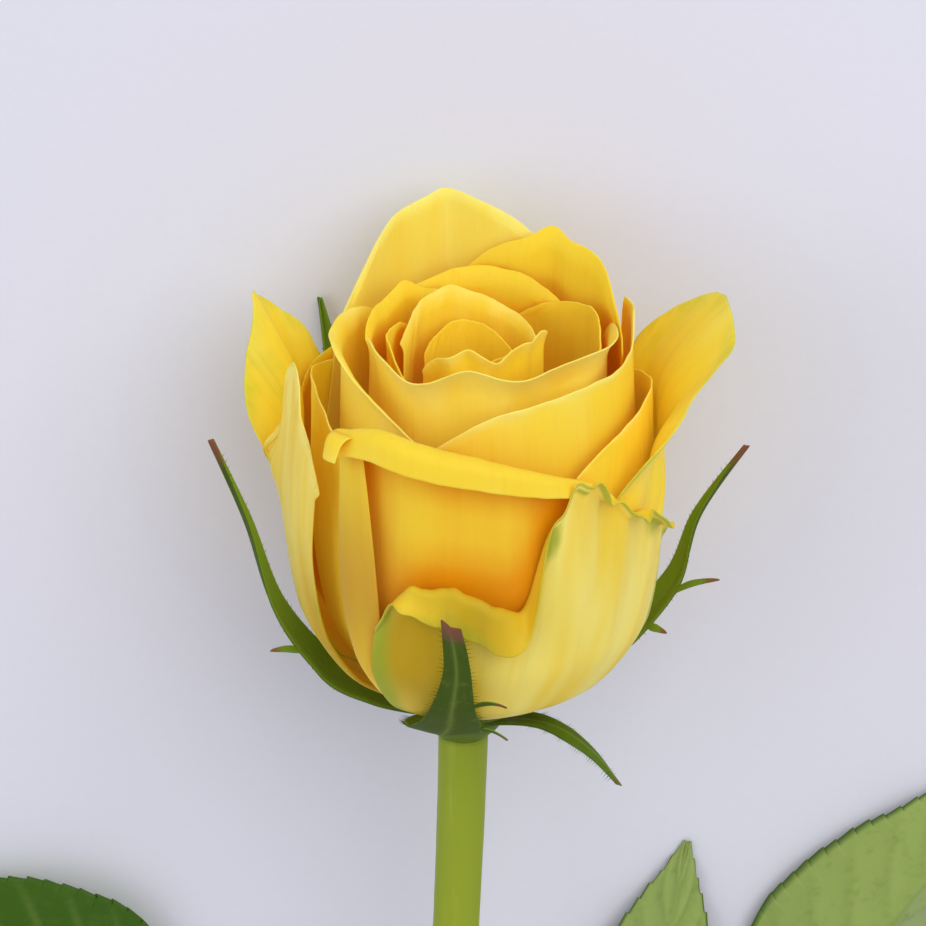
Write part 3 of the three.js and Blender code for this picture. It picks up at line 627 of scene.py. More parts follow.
def petalGrid(petal, seed):
    size = petalMesh
    spread = np.linspace(-1, 1, petal.get("columns", size["columns"]))
    crowd = size["edgeCrowding"]
    spread = (1 - crowd) * spread + crowd * np.sin(spread * math.pi / 2)
    stand = np.linspace(0, size["standing"], size["standRows"] + 1)
    lipSpan = (1 - size["standing"]) / size["lipRows"]
    rows = np.concatenate([stand, size["standing"] + lipSpan * np.arange(1, size["lipRows"] + 1)])
    u, v = np.meshgrid(spread, rows, indexing="ij")
    rolled = np.zeros_like(u)
    side, rollRadius, rollReach = petal.get("roll", [0, 0, 0])
    if side:  # the columns past the edge are wound round it
        begin = 1 - 2 * size["rollShare"]
        rolled = np.clip((u * side - begin) / (1 - begin), 0, 1)
        u = side * (2 * (np.minimum(u * side, begin) + 1) / (begin + 1) - 1)
    layer = across(petal["layer"], u)
    rise = rose["hipCrown"] * (1 - float(across(petal["layer"], 0)))
    seat = rose["hipHeight"] + size["seatGap"] + rise
    top = across(petal["height"], u) - size["cornerDrop"] * np.abs(u) ** size["cornerSharpness"]
    for where, far, wide in petal.get("bumps", []):
        top = top + far * hump(u, where, wide)
    top = top + petal.get("ragged", size["ragged"]) * ripple(4 * u, seed)
    up = np.minimum(v / size["standing"], 1)
    past = np.maximum((v - size["standing"]) / (1 - size["standing"]), 0)
    azimuth = along(petal["left"], v) * (1 - u) / 2 + along(petal["right"], v) * (1 + u) / 2
    z = seat + (top - seat) * up ** size["crowding"]
    radius = layer * outlineRadius(z - rise * (1 - up))
    slope = np.arctan2(radius - layer * outlineRadius(z - 1), 1)
    for where, push, wide in petal.get("folds", []):
        radius = radius + push * hump(u, where, wide) * up**2
    amount, count, phase = petal.get("wave", [0.15, 2, 0.5])
    ruffle = amount * np.sin(math.pi * (count * u + phase)) + 0.3 * amount * ripple(5 * u, seed + 1)
    radius = radius + ruffle * up**5 + size["unevenness"] * ripple(2.2 * u + 1.4 * v, seed + 2) * up
    slope = np.where(past > 0, np.clip(slope, *size["slopeLimits"]), 0)
    turn = np.radians(across(petal["turn"], u))
    steps = size["lipSteps"]
    stride = across(petal["lip"], u) * past / steps
    for step in range(steps):
        done = np.minimum(past * (step + 0.5) / steps / petal.get("bend", 1), 1)
        radius = radius + stride * np.sin(slope + turn * done)
        z = z + stride * np.cos(slope + turn * done)
    if side:  # half a turn round, then flat over the face
        around = math.pi * np.minimum(2 * rolled, 1)
        shrunk = rollRadius * (0.35 + 0.65 * smooth(0, 0.5, v))
        over = rollReach * hump(v, 0.5, 0.35) * np.maximum(2 * rolled - 1, 0)
        azimuth = azimuth + side * np.degrees((shrunk * np.sin(around) - over) / radius)
        radius = radius + size["rollDepth"] * shrunk * (1 - np.cos(around))
    return place(azimuth, radius, z), u, v, up


def blurred(field):
    padded = np.pad(field, 1, mode="edge")
    around = padded[:-2, 1:-1] + padded[2:, 1:-1] + padded[1:-1, :-2] + padded[1:-1, 2:]
    return (field + around / 4) / 2


def axisAt(points):
    lean = np.clip((points[..., 2] - rose["hipHeight"]) / rose["shiftHeight"], 0, 1)
    return np.stack([rose["bloomShift"] * lean, 0 * lean, points[..., 2]], axis=-1)


def treeOf(grids):
    points, faces, start = [], [], 0
    for grid in grids:
        quads, corner = gridQuads(*grid.shape[:2])
        points.append(grid.reshape(-1, 3))
        faces.append(quads + start)
        start += corner.size
    return BVHTree.FromPolygons(np.concatenate(points).tolist(), np.concatenate(faces).tolist())


def easedOut(grid, tree, clear, standRows):  # pushes a sheet away from the axis, off what is inside it
    far = petalMesh["rayReach"]
    middle = axisAt(grid)
    aside = grid - middle
    reach = np.linalg.norm(aside, axis=2)
    aside = aside / np.maximum(reach, 1e-6)[..., None]
    start = middle + aside * far
    need = np.zeros(reach.shape)
    for i in range(reach.shape[0]):
        for j in range(reach.shape[1]):
            hit = tree.ray_cast(Vector(start[i, j]), Vector(-aside[i, j]), far)
            if hit[0] is not None:
                need[i, j] = max(far - hit[3] + clear - reach[i, j], 0)
    need = np.where(need > petalMesh["pushLimit"], 0, need)
    need[:, standRows:] = np.maximum(need[:, standRows:], need[:, standRows:standRows + 1])
    push = need.copy()
    for turn in range(petalMesh["pushPasses"]):
        push = np.maximum(need, blurred(push))
    return grid + aside * push[..., None]


def shelter(grid, tree, side):  # how closed in a face is, 0 to 1
    normals = gridNormals(grid)[::2, ::2] * side
    points = grid[::2, ::2] + normals * shelterRays["start"]
    flat = unit(np.cross(normals, [0.31, 0.17, 0.93]))
    other = np.cross(normals, flat)
    closed = np.zeros(points.shape[:2])
    far = shelterRays["reach"]
    for lean, count in shelterRays["rings"]:
        for n in range(count):
            a = 2 * math.pi * (n + lean) / count
            way = normals * math.cos(lean) + (flat * math.cos(a) + other * math.sin(a)) * math.sin(lean)
            for i in range(points.shape[0]):
                for j in range(points.shape[1]):
                    hit = tree.ray_cast(Vector(points[i, j]), Vector(way[i, j]), far)
                    if hit[0] is not None:
                        closed[i, j] += 1 - shelterRays["fade"] * hit[3] / far
    closed = closed / sum(count for lean, count in shelterRays["rings"])
    closed = blurred(blurred(closed))
    rowsOf = np.linspace(0, closed.shape[1] - 1, grid.shape[1])
    columnsOf = np.linspace(0, closed.shape[0] - 1, grid.shape[0])
    wide = np.stack([np.interp(rowsOf, np.arange(closed.shape[1]), row) for row in closed])
    return np.stack([np.interp(columnsOf, np.arange(wide.shape[0]), line) for line in wide.T], axis=1)


petalGrids = []
for seed, petal in enumerate(petals):
    grid, u, v, up = petalGrid(petal, seed)
    if petalGrids:
        inside = treeOf([made[0] for made in petalGrids])
        grid = easedOut(grid, inside, petalMesh["clear"], petalMesh["standRows"])
    petalGrids.append((grid, u, v, up))
print(f"{len(petalGrids)} petals nested")
bloomTree = treeOf([made[0] for made in petalGrids])

for petal, (grid, u, v, up) in zip(petals, petalGrids):
    beside = smooth(petalMesh["sideMargin"], 1.0, np.abs(u))
    margin = np.maximum(beside, smooth(petalMesh["topMargin"], 1.0, v))
    green = petal.get("green", 0) * margin
    for where, high, wide in petal.get("spots", []):
        green = np.maximum(green, petal["green"] * hump(u, where, wide) * hump(v, high, wide))
    # painted highlight: the rim is made paler on both faces, and the petal grows paler towards the top,
    # over its own pale share
    rim = smooth(petalMesh["rimFrom"], 1.0, v)
    pale = petal.get("pale", 0) + 0.25 * smooth(0.7, 1.0, v) + petalMesh["rimHighlight"] * rim
    closed = shelterRays["strength"] * petal.get("sheltered", 1)
    shade = 0 * v
    for where, high, wide, amount in petal.get("shade", []):
        shade = shade + amount * hump(u, where, wide) * hump(v, high, 0.7 * wide)
    # dull patches: a browner tan, partly the petal's own colour and partly painted shade
    dull = 0 * v
    for where, high, wide, amount in petal.get("dull", []):
        dull = dull + amount * hump(u, where, wide) * hump(v, high, 0.7 * wide)
    thin = petalMesh["thickness"]
    thickness = thin + (petalMesh["footThickness"] - thin) * (1 - up) ** 2
    # painted shade: each face deepens towards orange as far as the rays find it closed in, and the shade
    # patches add more
    faces = [closed * shelter(grid, bloomTree, side) + shade for side in (1, -1)]
    marks = {
        "paintedShade": tuple(face * (1 - petalMesh["rimLift"] * rim) for face in faces),
        "green": (green, 0.6 * green),
        "pale": (pale, petal.get("inside", 0.6) * pale),
        "dull": (dull, dull),
        "rise": (v, v),
    }
    mesh = sheetMesh(petal["name"], grid, thickness, marks)
    guard = "guard" in petal["name"]
    stuff = guardStuff if guard else petalStuff
    finished(mesh, stuff, [petal["name"]], subdivide=1)
print("petals made")


def joined(name, meshes):  # several closed shells as one mesh
    shape = bmesh.new()
    for mesh in meshes:
        shape.from_mesh(mesh)
        bpy.data.meshes.remove(mesh)
    whole = bpy.data.meshes.new(name)
    shape.to_mesh(whole)
    shape.free()
    return whole


def tubeMesh(name, rings, marks, world=True):
    # closed through rings of points, [ring][side]; marks has a value for each ring
    count, sides = rings.shape[:2]
    ends = np.stack([rings[0].mean(axis=0), rings[-1].mean(axis=0)])
    points = np.concatenate([rings.reshape(-1, 3), ends])
    corner = np.arange(count * sides).reshape(count, sides)
    after = np.roll(corner, -1, axis=1)
    faces = np.stack([corner[:-1], after[:-1], after[1:], corner[1:]], axis=-1).reshape(-1, 4).tolist()
    first, last = count * sides, count * sides + 1
    faces += [[first, b, a] for a, b in zip(corner[0], after[0])]
    faces += [[last, a, b] for a, b in zip(corner[-1], after[-1])]
    mesh = bpy.data.meshes.new(name)
    mesh.from_pydata((toWorld(points) if world else points * mm).tolist(), [], faces)
    mesh.uv_layers.new(name="petalUv")
    for mark, values in marks.items():
        putMark(mesh, mark, np.concatenate([np.repeat(values, sides), [values[0], values[-1]]]))
    return mesh


def circles(centres, radii, sides, lobes=0, lobeSize=0.0):  # rings square to a path
    forward = unit(np.gradient(centres, axis=0))
    side = unit(np.cross([1, 0.1, 0.2], forward))
    other = np.cross(forward, side)
    a = np.arange(sides) * 2 * math.pi / sides
    reach = np.asarray(radii)[:, None] * (1 + lobeSize * np.cos(lobes * a))[None, :]
    spoke = side[:, None] * np.cos(a)[None, :, None] + other[:, None] * np.sin(a)[None, :, None]
    return centres[:, None] + spoke * reach[..., None]


hip = {
    "radii": [2.6, 3.3, 4.6, 5.15, 5.2, 5.0, 4.3, 3.0, 1.2],
    "heights": [-0.5, 0.1, 1.4, 2.9, 4.2, 5.0, 6.0, 7.6, 9.4],
    "rings": 40,
    "sides": 60,
    "lobes": 5,
    "lobeSize": 0.012,
}


def makeHip():
    share = np.linspace(0, 1, hip["rings"])
    centres = np.stack([0 * share, 0 * share, along(hip["heights"], share)], axis=-1)
    rings = circles(centres, along(hip["radii"], share), hip["sides"], hip["lobes"], hip["lobeSize"])
    zero = 0 * share
    mesh = tubeMesh("hip", rings, {"inner": zero, "vein": zero, "brown": zero})
    finished(mesh, hipStuff, ["hip"])


makeHip()

# Each sepal's middle line from base to tip, as azimuths, radii and heights. shares are its widths
# as shares of sepalShape's. twist near its middle and fold at its tip lean one edge out and the
# other in. inside is how much its inner face pales and tipBrown how much its tip browns. eased is
# False where it clears the petals as it is. Its side lobes are [how far up, side, length in mm,
# which way in degrees].
sepals = [
    {"name": "sepal_front", "azimuth": [-27, -14, -9, -6, -4, -5], "radius": [6.5, 12, 18, 24, 27.5, 30.5],
     "height": [4.2, 6.2, 9.4, 15, 22, 29.6], "lobes": [[0.62, 1, 5.2, 52], [0.42, 1, 3.6, 85]],
     "shares": [0.62, 1, 0.86, 0.56, 0.33, 0.26], "tipBrown": 0.9, "fold": 0.9},
    {"name": "sepal_left", "azimuth": [-88, -86, -84, -82, -81, -77],
     "radius": [6.5, 12, 18, 24, 27.5, 32], "height": [4.2, 6.4, 10, 19, 31, 43],
     "lobes": [[0.5, 1, 4.5, 40]], "shares": [0.62, 0.85, 0.66, 0.42, 0.22, 0.06], "twist": 1.0,
     "tipBrown": 0.8},
    {"name": "sepal_right", "azimuth": [112, 108, 104, 99, 94, 88], "radius": [6.5, 12, 18, 25, 27.5, 33],
     "height": [4.2, 6.4, 10, 19, 29, 39.6], "lobes": [[0.6, -1, 6.5, 30], [0.5, -1, 3.0, 60]],
     "shares": [0.62, 0.85, 0.66, 0.48, 0.26, 0.06], "twist": -0.5, "tipBrown": 0.9},
    {"name": "sepal_low", "azimuth": [44, 44, 45, 46, 47, 47.5], "radius": [6.5, 10, 14, 18, 22, 25.5],
     "height": [3.8, 5.4, 6.2, 5.8, 4.2, 1.6], "lobes": [], "shares": [0.5, 0.44, 0.3, 0.24, 0.15, 0.05],
     "tipBrown": 0.5, "inside": 0.25, "eased": False},
    {"name": "sepal_back", "azimuth": [-150, -149, -147, -145, -143, -142],
     "radius": [6.5, 12, 18, 24, 27, 31], "height": [4.2, 6.4, 10, 21, 34, 48.5],
     "lobes": [[0.55, 1, 5, 35]], "shares": [0.62, 1, 0.9, 0.66, 0.42, 0.06], "tipBrown": 0.3},
]
sepalShape = {
    "width": 10.0,
    "columns": 17,
    "rows": 64,
    "waviness": 0.25,  # along the middle line, mm
    "keel": 0.7,  # how far the midrib stands out, mm
    "thickness": 0.42,
    "lobeWidth": 1.5,
    "lobeRows": 16,
    "lobeColumns": 5,
    "lobeThickness": 0.28,
    "lobeRise": 0.48,  # how far a lobe bends out, as a share of its length
    "hairRows": (6, 60),
    "hairLength": 0.85,
    "hairWidth": 0.05,
    "hairHook": 0.25,
    "hairForward": 0.35,
    "hairSpread": 0.3,
    "clear": 0.6,
}


def lobeGrid(root, way, out, length, width):
    s = np.linspace(0, 1, sepalShape["lobeRows"])
    u = np.linspace(-1, 1, sepalShape["lobeColumns"])
    aside = np.cross(way, out)
    rise = sepalShape["lobeRise"] * (s**2) * length
    middle = root + np.outer(s * length, way) + np.outer(rise, out)
    half = width / 2 * np.sqrt(np.clip(1 - s, 0.003, 1)) * smooth(-0.3, 0.5, s)
    return middle[None] + u[:, None, None] * half[None, :, None] * aside


def makeSepal(sepal, tree, hairs):
    shape = sepalShape
    v = np.linspace(0, 1, shape["rows"])
    u = np.linspace(-1, 1, shape["columns"])
    u, v = np.meshgrid(u, v, indexing="ij")
    half = shape["width"] / 2 * along(sepal["shares"], v)
    radius = along(sepal["radius"], v)
    azimuth = along(sepal["azimuth"], v) + np.degrees(u * half / radius)
    height = along(sepal["height"], v) + shape["waviness"] * ripple(3 * v + u, 3)
    cup = (1 - np.abs(u)) ** 1.5 * shape["keel"] * smooth(0, 0.2, v)
    lean = sepal.get("fold", 0) * smooth(0.86, 1, v) * u * half
    lean = lean + sepal.get("twist", 0) * hump(v, 0.45, 0.3) * u
    grid = place(azimuth, radius + cup + lean, height)
    if sepal.get("eased", True):
        grid = easedOut(grid, tree, shape["clear"], shape["rows"] - 1)
    brown = sepal["tipBrown"] * smooth(0.82, 1.0, v)
    marks = {
        "inner": (0 * u, sepal.get("inside", 1) + 0 * u),
        "vein": (hump(u, 0, 0.1), hump(u, 0, 0.1)),
        "brown": (brown, brown),
    }
    meshes = [sheetMesh("blade", grid, shape["thickness"] * (1.25 - 0.7 * v), marks)]
    normals = gridNormals(grid)
    for where, side, length, lean in sepal["lobes"]:
        j = int(where * (shape["rows"] - 1))
        i = -2 if side > 0 else 1
        forward = unit(grid[i, j + 1] - grid[i, j])
        outward = side * np.cross(forward, normals[i, j])
        a = math.radians(lean)
        way = forward * math.cos(a) + outward * math.sin(a)
        lobe = lobeGrid(grid[i, j], way, normals[i, j], length, shape["lobeWidth"])
        shares = np.linspace(0, 1, lobe.shape[1])[None] + np.zeros(lobe.shape[:2])
        tinge = 0.8 * smooth(0.4, 1, shares)
        meshes.append(sheetMesh("lobe", lobe, shape["lobeThickness"], {
            "inner": (0 * shares, 1 + 0 * shares),
            "vein": (0 * shares, 0 * shares),
            "brown": (tinge, tinge),
        }))
    finished(joined(sepal["name"], meshes), sepalStuff, [sepal["name"]], subdivide=1)
    for i, side in ((0, -1), (-1, 1)):
        for j in range(*shape["hairRows"]):
            forward = unit(grid[i, j + 1] - grid[i, j])
            way = side * np.cross(forward, normals[i, j]) + shape["hairForward"] * forward
            way = way + shape["hairSpread"] * math.sin(5.3 * j + i) * normals[i, j]
            size = 0.45 + 0.55 * abs(math.sin(2.7 * j + side))
            hairs.append((grid[i, j], way, forward, size))


# Prickles and hairs: the nodes put a bent cone on each point
def bentCones(name, stuff, sockets):
    tree = bpy.data.node_groups.new(name, "GeometryNodeTree")
    tree.interface.new_socket("Geometry", in_out="INPUT", socket_type="NodeSocketGeometry")
    tree.interface.new_socket("Geometry", in_out="OUTPUT", socket_type="NodeSocketGeometry")
    for label, value in sockets.items():
        kind = "NodeSocketInt" if isinstance(value, int) else "NodeSocketFloat"
        tree.interface.new_socket(label, in_out="INPUT", socket_type=kind)
    wire = Wire(tree)
    inputs = wire.node("NodeGroupInput").socket.node.outputs
    given = {output.name: Wire(tree, output) for output in inputs if output.name}
    cone = wire.node("GeometryNodeMeshCone", {}, {
        "Vertices": given["Sides"],
        "Side Segments": given["Segments"],
        "Radius Top": 0.0,
        "Radius Bottom": given["Width"],
        "Depth": given["Length"],
    })
    spot = wire.node("GeometryNodeInputPosition")
    split = wire.node("ShaderNodeSeparateXYZ", {}, {0: spot}).socket.node.outputs
    x, z = Wire(tree, split[0]), Wire(tree, split[2])
    share = z.maths("DIVIDE", z, given["Length"])
    low = 1 - share
    reach = x * low * low * given["Spread"] - share * share * given["Hook"]
    offset = wire.node("ShaderNodeCombineXYZ", {}, {"X": reach})
    bent = wire.node("GeometryNodeSetPosition", {}, {"Geometry": cone, "Offset": offset})
    vector = {"data_type": "FLOAT_VECTOR"}
    way = wire.node("GeometryNodeInputNamedAttribute", vector, {"Name": "way"})
    down = wire.node("GeometryNodeInputNamedAttribute", vector, {"Name": "forward"})
    size = wire.node("GeometryNodeInputNamedAttribute", {"data_type": "FLOAT"}, {"Name": "size"})
    stood = wire.node("FunctionNodeAlignRotationToVector", {"axis": "Z"}, {"Vector": way})
    faced = wire.node("FunctionNodeAlignRotationToVector", {"axis": "X", "pivot_axis": "Z"},
                      {"Rotation": stood, "Vector": down})
    chance = wire.node("FunctionNodeRandomValue", {"data_type": "FLOAT"},
                       {2: 0.8, 3: 1.15, "Seed": given["Seed"]}, output=1)
    placed = wire.node("GeometryNodeInstanceOnPoints", {}, {
        "Points": given["Geometry"],
        "Instance": bent,
        "Rotation": faced,
        "Scale": size * chance,
    })
    real = wire.node("GeometryNodeRealizeInstances", {}, {"Geometry": placed})
    dressed = wire.node("GeometryNodeSetMaterial", {}, {"Geometry": real, "Material": stuff})
    out = tree.nodes.new("NodeGroupOutput")
    tree.links.new(dressed.socket, out.inputs[0])
    return tree


def grown(name, roots, stuff, sockets):  # roots: point, way, forward and size for each
    points, ways, forwards, sizes = (np.array(column, float) for column in zip(*roots))
    mesh = bpy.data.meshes.new(name + "Roots")
    mesh.from_pydata(toWorld(points).tolist(), [], [])
    for label, values in (("way", ways), ("forward", forwards)):
        turned = (values @ lay.T).astype(np.float32)
        mesh.attributes.new(label, "FLOAT_VECTOR", "POINT").data.foreach_set("vector", turned.ravel())
    putMark(mesh, "size", sizes)
    host = inScene(name + "Roots", mesh)
    tree = bentCones(name, stuff, sockets)
    modifier = host.modifiers.new("grow", "NODES")
    modifier.node_group = tree
    for item in tree.interface.items_tree:
        if item.in_out == "INPUT" and item.name in sockets:
            modifier[item.identifier] = sockets[item.name]
    graph = bpy.context.evaluated_depsgraph_get()
    made = bpy.data.meshes.new_from_object(host.evaluated_get(graph))
    made.name = name
    host.modifiers.remove(modifier)
    bpy.data.objects.remove(host)
    for mark in ("inner", "vein", "brown"):
        made.attributes.new(mark, "FLOAT", "POINT")
    if not made.uv_layers:
        made.uv_layers.new(name="petalUv")
    made.materials.clear()
    return finished(made, stuff, [])


hairs = []
for sepal in sepals:
    makeSepal(sepal, bloomTree, hairs)
grown("sepal_hairs", hairs, sepalStuff, {
    "Length": sepalShape["hairLength"] * mm,
    "Width": sepalShape["hairWidth"] * mm,
    "Hook": sepalShape["hairHook"] * mm,
    "Spread": 0.0,
    "Sides": 4,
    "Segments": 2,
    "Seed": 3,
})
print(f"sepals made, with {len(hairs)} hairs")


stem = {
    "stray": [0, -1.4, -2.6, -1.5, 0.6, 1.6, 0.8, 0],
    "nodes": [78, 95, 195],  # where a leaf grows, mm down
    "nodeSize": 0.55,
    "nodeLength": 3.2,
    "ribs": 5,
    "ribSize": 0.012,
    "swell": 0.03,  # unevenness of its radius, mm
    "swellPitch": 14,
    "cutReach": 3,  # how far up the stem the slanted cut is felt, mm
    "rings": 260,
    "sides": 40,
    "cutSlant": 0.9,
    "cutShares": [0.4, 0.8, 0.93],  # of the radius, rings across the cut end
    "cutPale": [1, 1, 0.2],
    "prickles": [[34, 80, 1.0], [62, 250, 0.9], [104, 140, 1.05], [122, 330, 0.95], [150, 60, 1.0],
                 [188, 200, 1.0], [205, 20, 0.9], [236, 290, 1.0]],  # mm down, azimuth, size
    "prickleLength": 4.2,
    "prickleWidth": 1.15,
    "prickleHook": 1.6,
    "prickleSunk": 0.3,  # how deep its root sits in the stem, mm
}


def stemMiddle(down):
    down = np.asarray(down, float)
    return np.stack([along(stem["stray"], down / rose["stemLength"]), 0 * down, -down], axis=-1)


def stemRadiusAt(down):
    share = (1 - np.asarray(down, float) / rose["stemLength"]) ** 3
    return rose["stemRadius"] + (rose["neckRadius"] - rose["stemRadius"]) * share


def makeStem():
    down = np.linspace(rose["stemLength"], 0.1, stem["rings"])
    radii = stemRadiusAt(down) + stem["swell"] * ripple(down / stem["swellPitch"], 5)
    for node in stem["nodes"]:
        radii = radii + stem["nodeSize"] * hump(down, node, stem["nodeLength"])
    a = np.arange(stem["sides"]) * 2 * math.pi / stem["sides"]
    middle = stemMiddle(down)
    ridge = 1 + stem["ribSize"] * np.cos(stem["ribs"] * a)[None, :]
    x = middle[:, :1] + radii[:, None] * ridge * np.cos(a)
    y = middle[:, 1:2] + radii[:, None] * ridge * np.sin(a)
    end = rose["stemLength"]
    slant = stem["cutSlant"] * rose["stemRadius"] * smooth(end - stem["cutReach"], end, down)
    z = middle[:, 2:] + slant[:, None] * np.sin(a)
    rings = np.stack([x, y, z], axis=-1)
    centre = rings[0].mean(axis=0)
    cut = [centre + (rings[0] - centre) * share for share in stem["cutShares"]]
    rings = np.concatenate([cut, rings])
    inner = np.concatenate([stem["cutPale"], 0 * down])
    mesh = tubeMesh("stem", rings, {"inner": inner, "vein": 0 * inner, "brown": 0 * inner})
    finished(mesh, stemStuff, ["stem"])


makeStem()


def prickleRoots():
    roots = []
    for down, azimuth, size in stem["prickles"]:
        a = math.radians(azimuth)
        way = np.array([math.sin(a), -math.cos(a), 0.0])
        root = stemMiddle(down) + way * (stemRadiusAt(down) - stem["prickleSunk"])
        roots.append((root, way, np.array([0, 0, 1.0]), size))
    return roots


prickleStuff = greenMaterial("prickleTan", stemLook | {
    "outside": rgb(150, 118, 66),
    "light": rgb(182, 92, 66),
    "grain": 260.0,
    "mottle": 0.9,
})
grown("prickles", prickleRoots(), prickleStuff, {
    "Length": stem["prickleLength"] * mm,
    "Width": stem["prickleWidth"] * mm,
    "Hook": stem["prickleHook"] * mm,
    "Spread": 1.5,
    "Sides": 14,
    "Segments": 10,
    "Seed": 5,
})
print("stem made")


# A stalk leaves the stem so far down it and runs over the surface to points [x, y], in mm from the
# foot of the hip. Each leaflet starts at base and points along heading, in degrees from +x.
leaves = [
    {"name": "leaf_left", "down": 78, "side": -1, "path": [[-18, -67.5], [-34.5, -51.5]], "leaflets": [
        {"base": [-36.3, -50.2], "heading": 158, "size": 1, "fold": -12},
        {"base": [-17.5, -64.6], "heading": 96, "size": 0.52, "fold": -15},
        {"base": [-20.5, -70.5], "heading": 225, "size": 0.7, "fold": 14},
    ]},
    {"name": "leaf_right", "down": 95, "side": 1, "path": [[12, -86], [25, -69.5], [35.5, -53]],
     "under": True, "leaflets": [
        {"base": [36.7, -50.8], "heading": 47, "size": 1.06, "fold": 48},
        {"base": [19.6, -67.4], "heading": 77, "size": 0.87, "fold": 36},
        {"base": [28.8, -70.5], "heading": 340, "size": 0.8, "fold": 25},
        {"base": [10, -82.2], "heading": 96, "size": 0.62, "fold": 20},
        {"base": [15.5, -88], "heading": 300, "size": 0.66, "fold": 18},
    ]},
    {"name": "leaf_lower", "down": 195, "side": -1, "path": [[-18, -184], [-35, -170], [-44, -162]],
     "leaflets": [
        {"base": [-45.7, -160.2], "heading": 138, "size": 1, "fold": -14},
        {"base": [-34.2, -166.8], "heading": 80, "size": 0.7, "fold": -18},
        {"base": [-37.8, -171.8], "heading": 205, "size": 0.76, "fold": 16},
        {"base": [-17, -180.6], "heading": 80, "size": 0.6, "fold": -16},
        {"base": [-20.6, -187], "heading": 248, "size": 0.66, "fold": 20},
    ]},
]
leafShape = {
    "length": 50.0,
    "width": 29.0,
    "shares": [0.07, 0.62, 0.93, 1, 0.93, 0.76, 0.54, 0.28, 0.05],
    "arch": 2.2,
    "thickness": 0.32,
    "teeth": 22,  # on each side of the largest leaflet
    "toothSize": 0.022,
    "rowsPerTooth": 9,
    "columns": 25,
    "sideVeins": 8,
    "veinSlant": 1.6,
    "midribWidth": 0.07,
    "puff": 0.3,  # how far the blade swells between the veins, mm
    "curl": 0.9,  # unevenness of its edges, mm
    "stalkRadius": 0.9,
    "stalkTaper": 0.4,
    "stalkSwell": 0.7,  # at its start, as a share of its radius
    "stalkRings": 60,
    "stalkSunk": 0.6,  # how far its start sits in the stem, mm
    "linkRadius": 0.5,  # of a leaflet's own short stalk
    "linkReach": 1.5,  # how far that runs under the leaflet
    "lift": 0.2,  # off the surface, mm
    "rimFrom": 0.92,
    "stipuleRings": 18,
    "stipuleWidth": 1.7,
    "stipuleThickness": 0.22,
}


def leafVeins(u, v):  # the midrib and the side veins, 0 to 1
    row = leafShape["sideVeins"] * v - leafShape["veinSlant"] * np.abs(u)
    side = np.abs(row - np.round(row)) * 2
    sideVein = 0.7 * smooth(0.35, 0.0, side) * (1 - np.abs(u) ** 3)
    return np.maximum(hump(u, 0, leafShape["midribWidth"]), sideVein)


def leafletMesh(title, leaflet, under):
    shape = leafShape
    size = leaflet["size"]
    teeth = round(shape["teeth"] * (0.4 + 0.6 * size))
    v = np.linspace(0, 1, teeth * shape["rowsPerTooth"] + 1)
    u = np.linspace(-1, 1, shape["columns"])
    u, v = np.meshgrid(u, v, indexing="ij")
    saw = (v * teeth) % 1
    middling = smooth(0.04, 0.15, v) * smooth(1, 0.93, v)
    tooth = shape["toothSize"] * (saw**1.4 - 0.4) * np.abs(u) ** 8 * middling
    half = shape["width"] / 2 * size * (along(shape["shares"], v) + tooth)
    fold = math.radians(leaflet["fold"])
    raised = math.sin(fold) * half * ((1 - np.abs(u)) if fold > 0 else -np.abs(u))
    sign = -1 if under else 1
    cells = np.abs(np.sin(math.pi * (shape["sideVeins"] * v - shape["veinSlant"] * np.abs(u))))
    puff = sign * shape["puff"] * (cells - 0.5) * (1 - u**6) * smooth(0, 0.15, np.abs(u))
    curl = shape["curl"] * size * ripple(3 * v, 7 * size) * np.abs(u) ** 3
    x = shape["length"] * size * (v + 0.5 * tooth)
    z = raised + shape["arch"] * size * np.sin(math.pi * v) + puff + curl
    grid = np.stack([x, -half * u * math.cos(fold), z], axis=-1)
    grid[..., 2] += shape["lift"] - grid[..., 2].min()
    a = math.radians(leaflet["heading"])
    turn = np.array([[math.cos(a), -math.sin(a), 0], [math.sin(a), math.cos(a), 0], [0, 0, 1]])
    grid = grid @ turn.T + np.array([*(leaflet["base"] + foot[:2]), 0])
    shown = 1.0 if under else 0.0
    rim = smooth(shape["rimFrom"], 1.0, np.abs(u))
    nerve = leafVeins(u, v)
    marks = {
        "inner": (shown * (1 - rim), (1 - shown) * (1 - rim)),
        "vein": (nerve, nerve),
        "brown": (0.3 * rim, 0.3 * rim),
    }
    return sheetMesh(title, grid, shape["thickness"], marks, world=False)


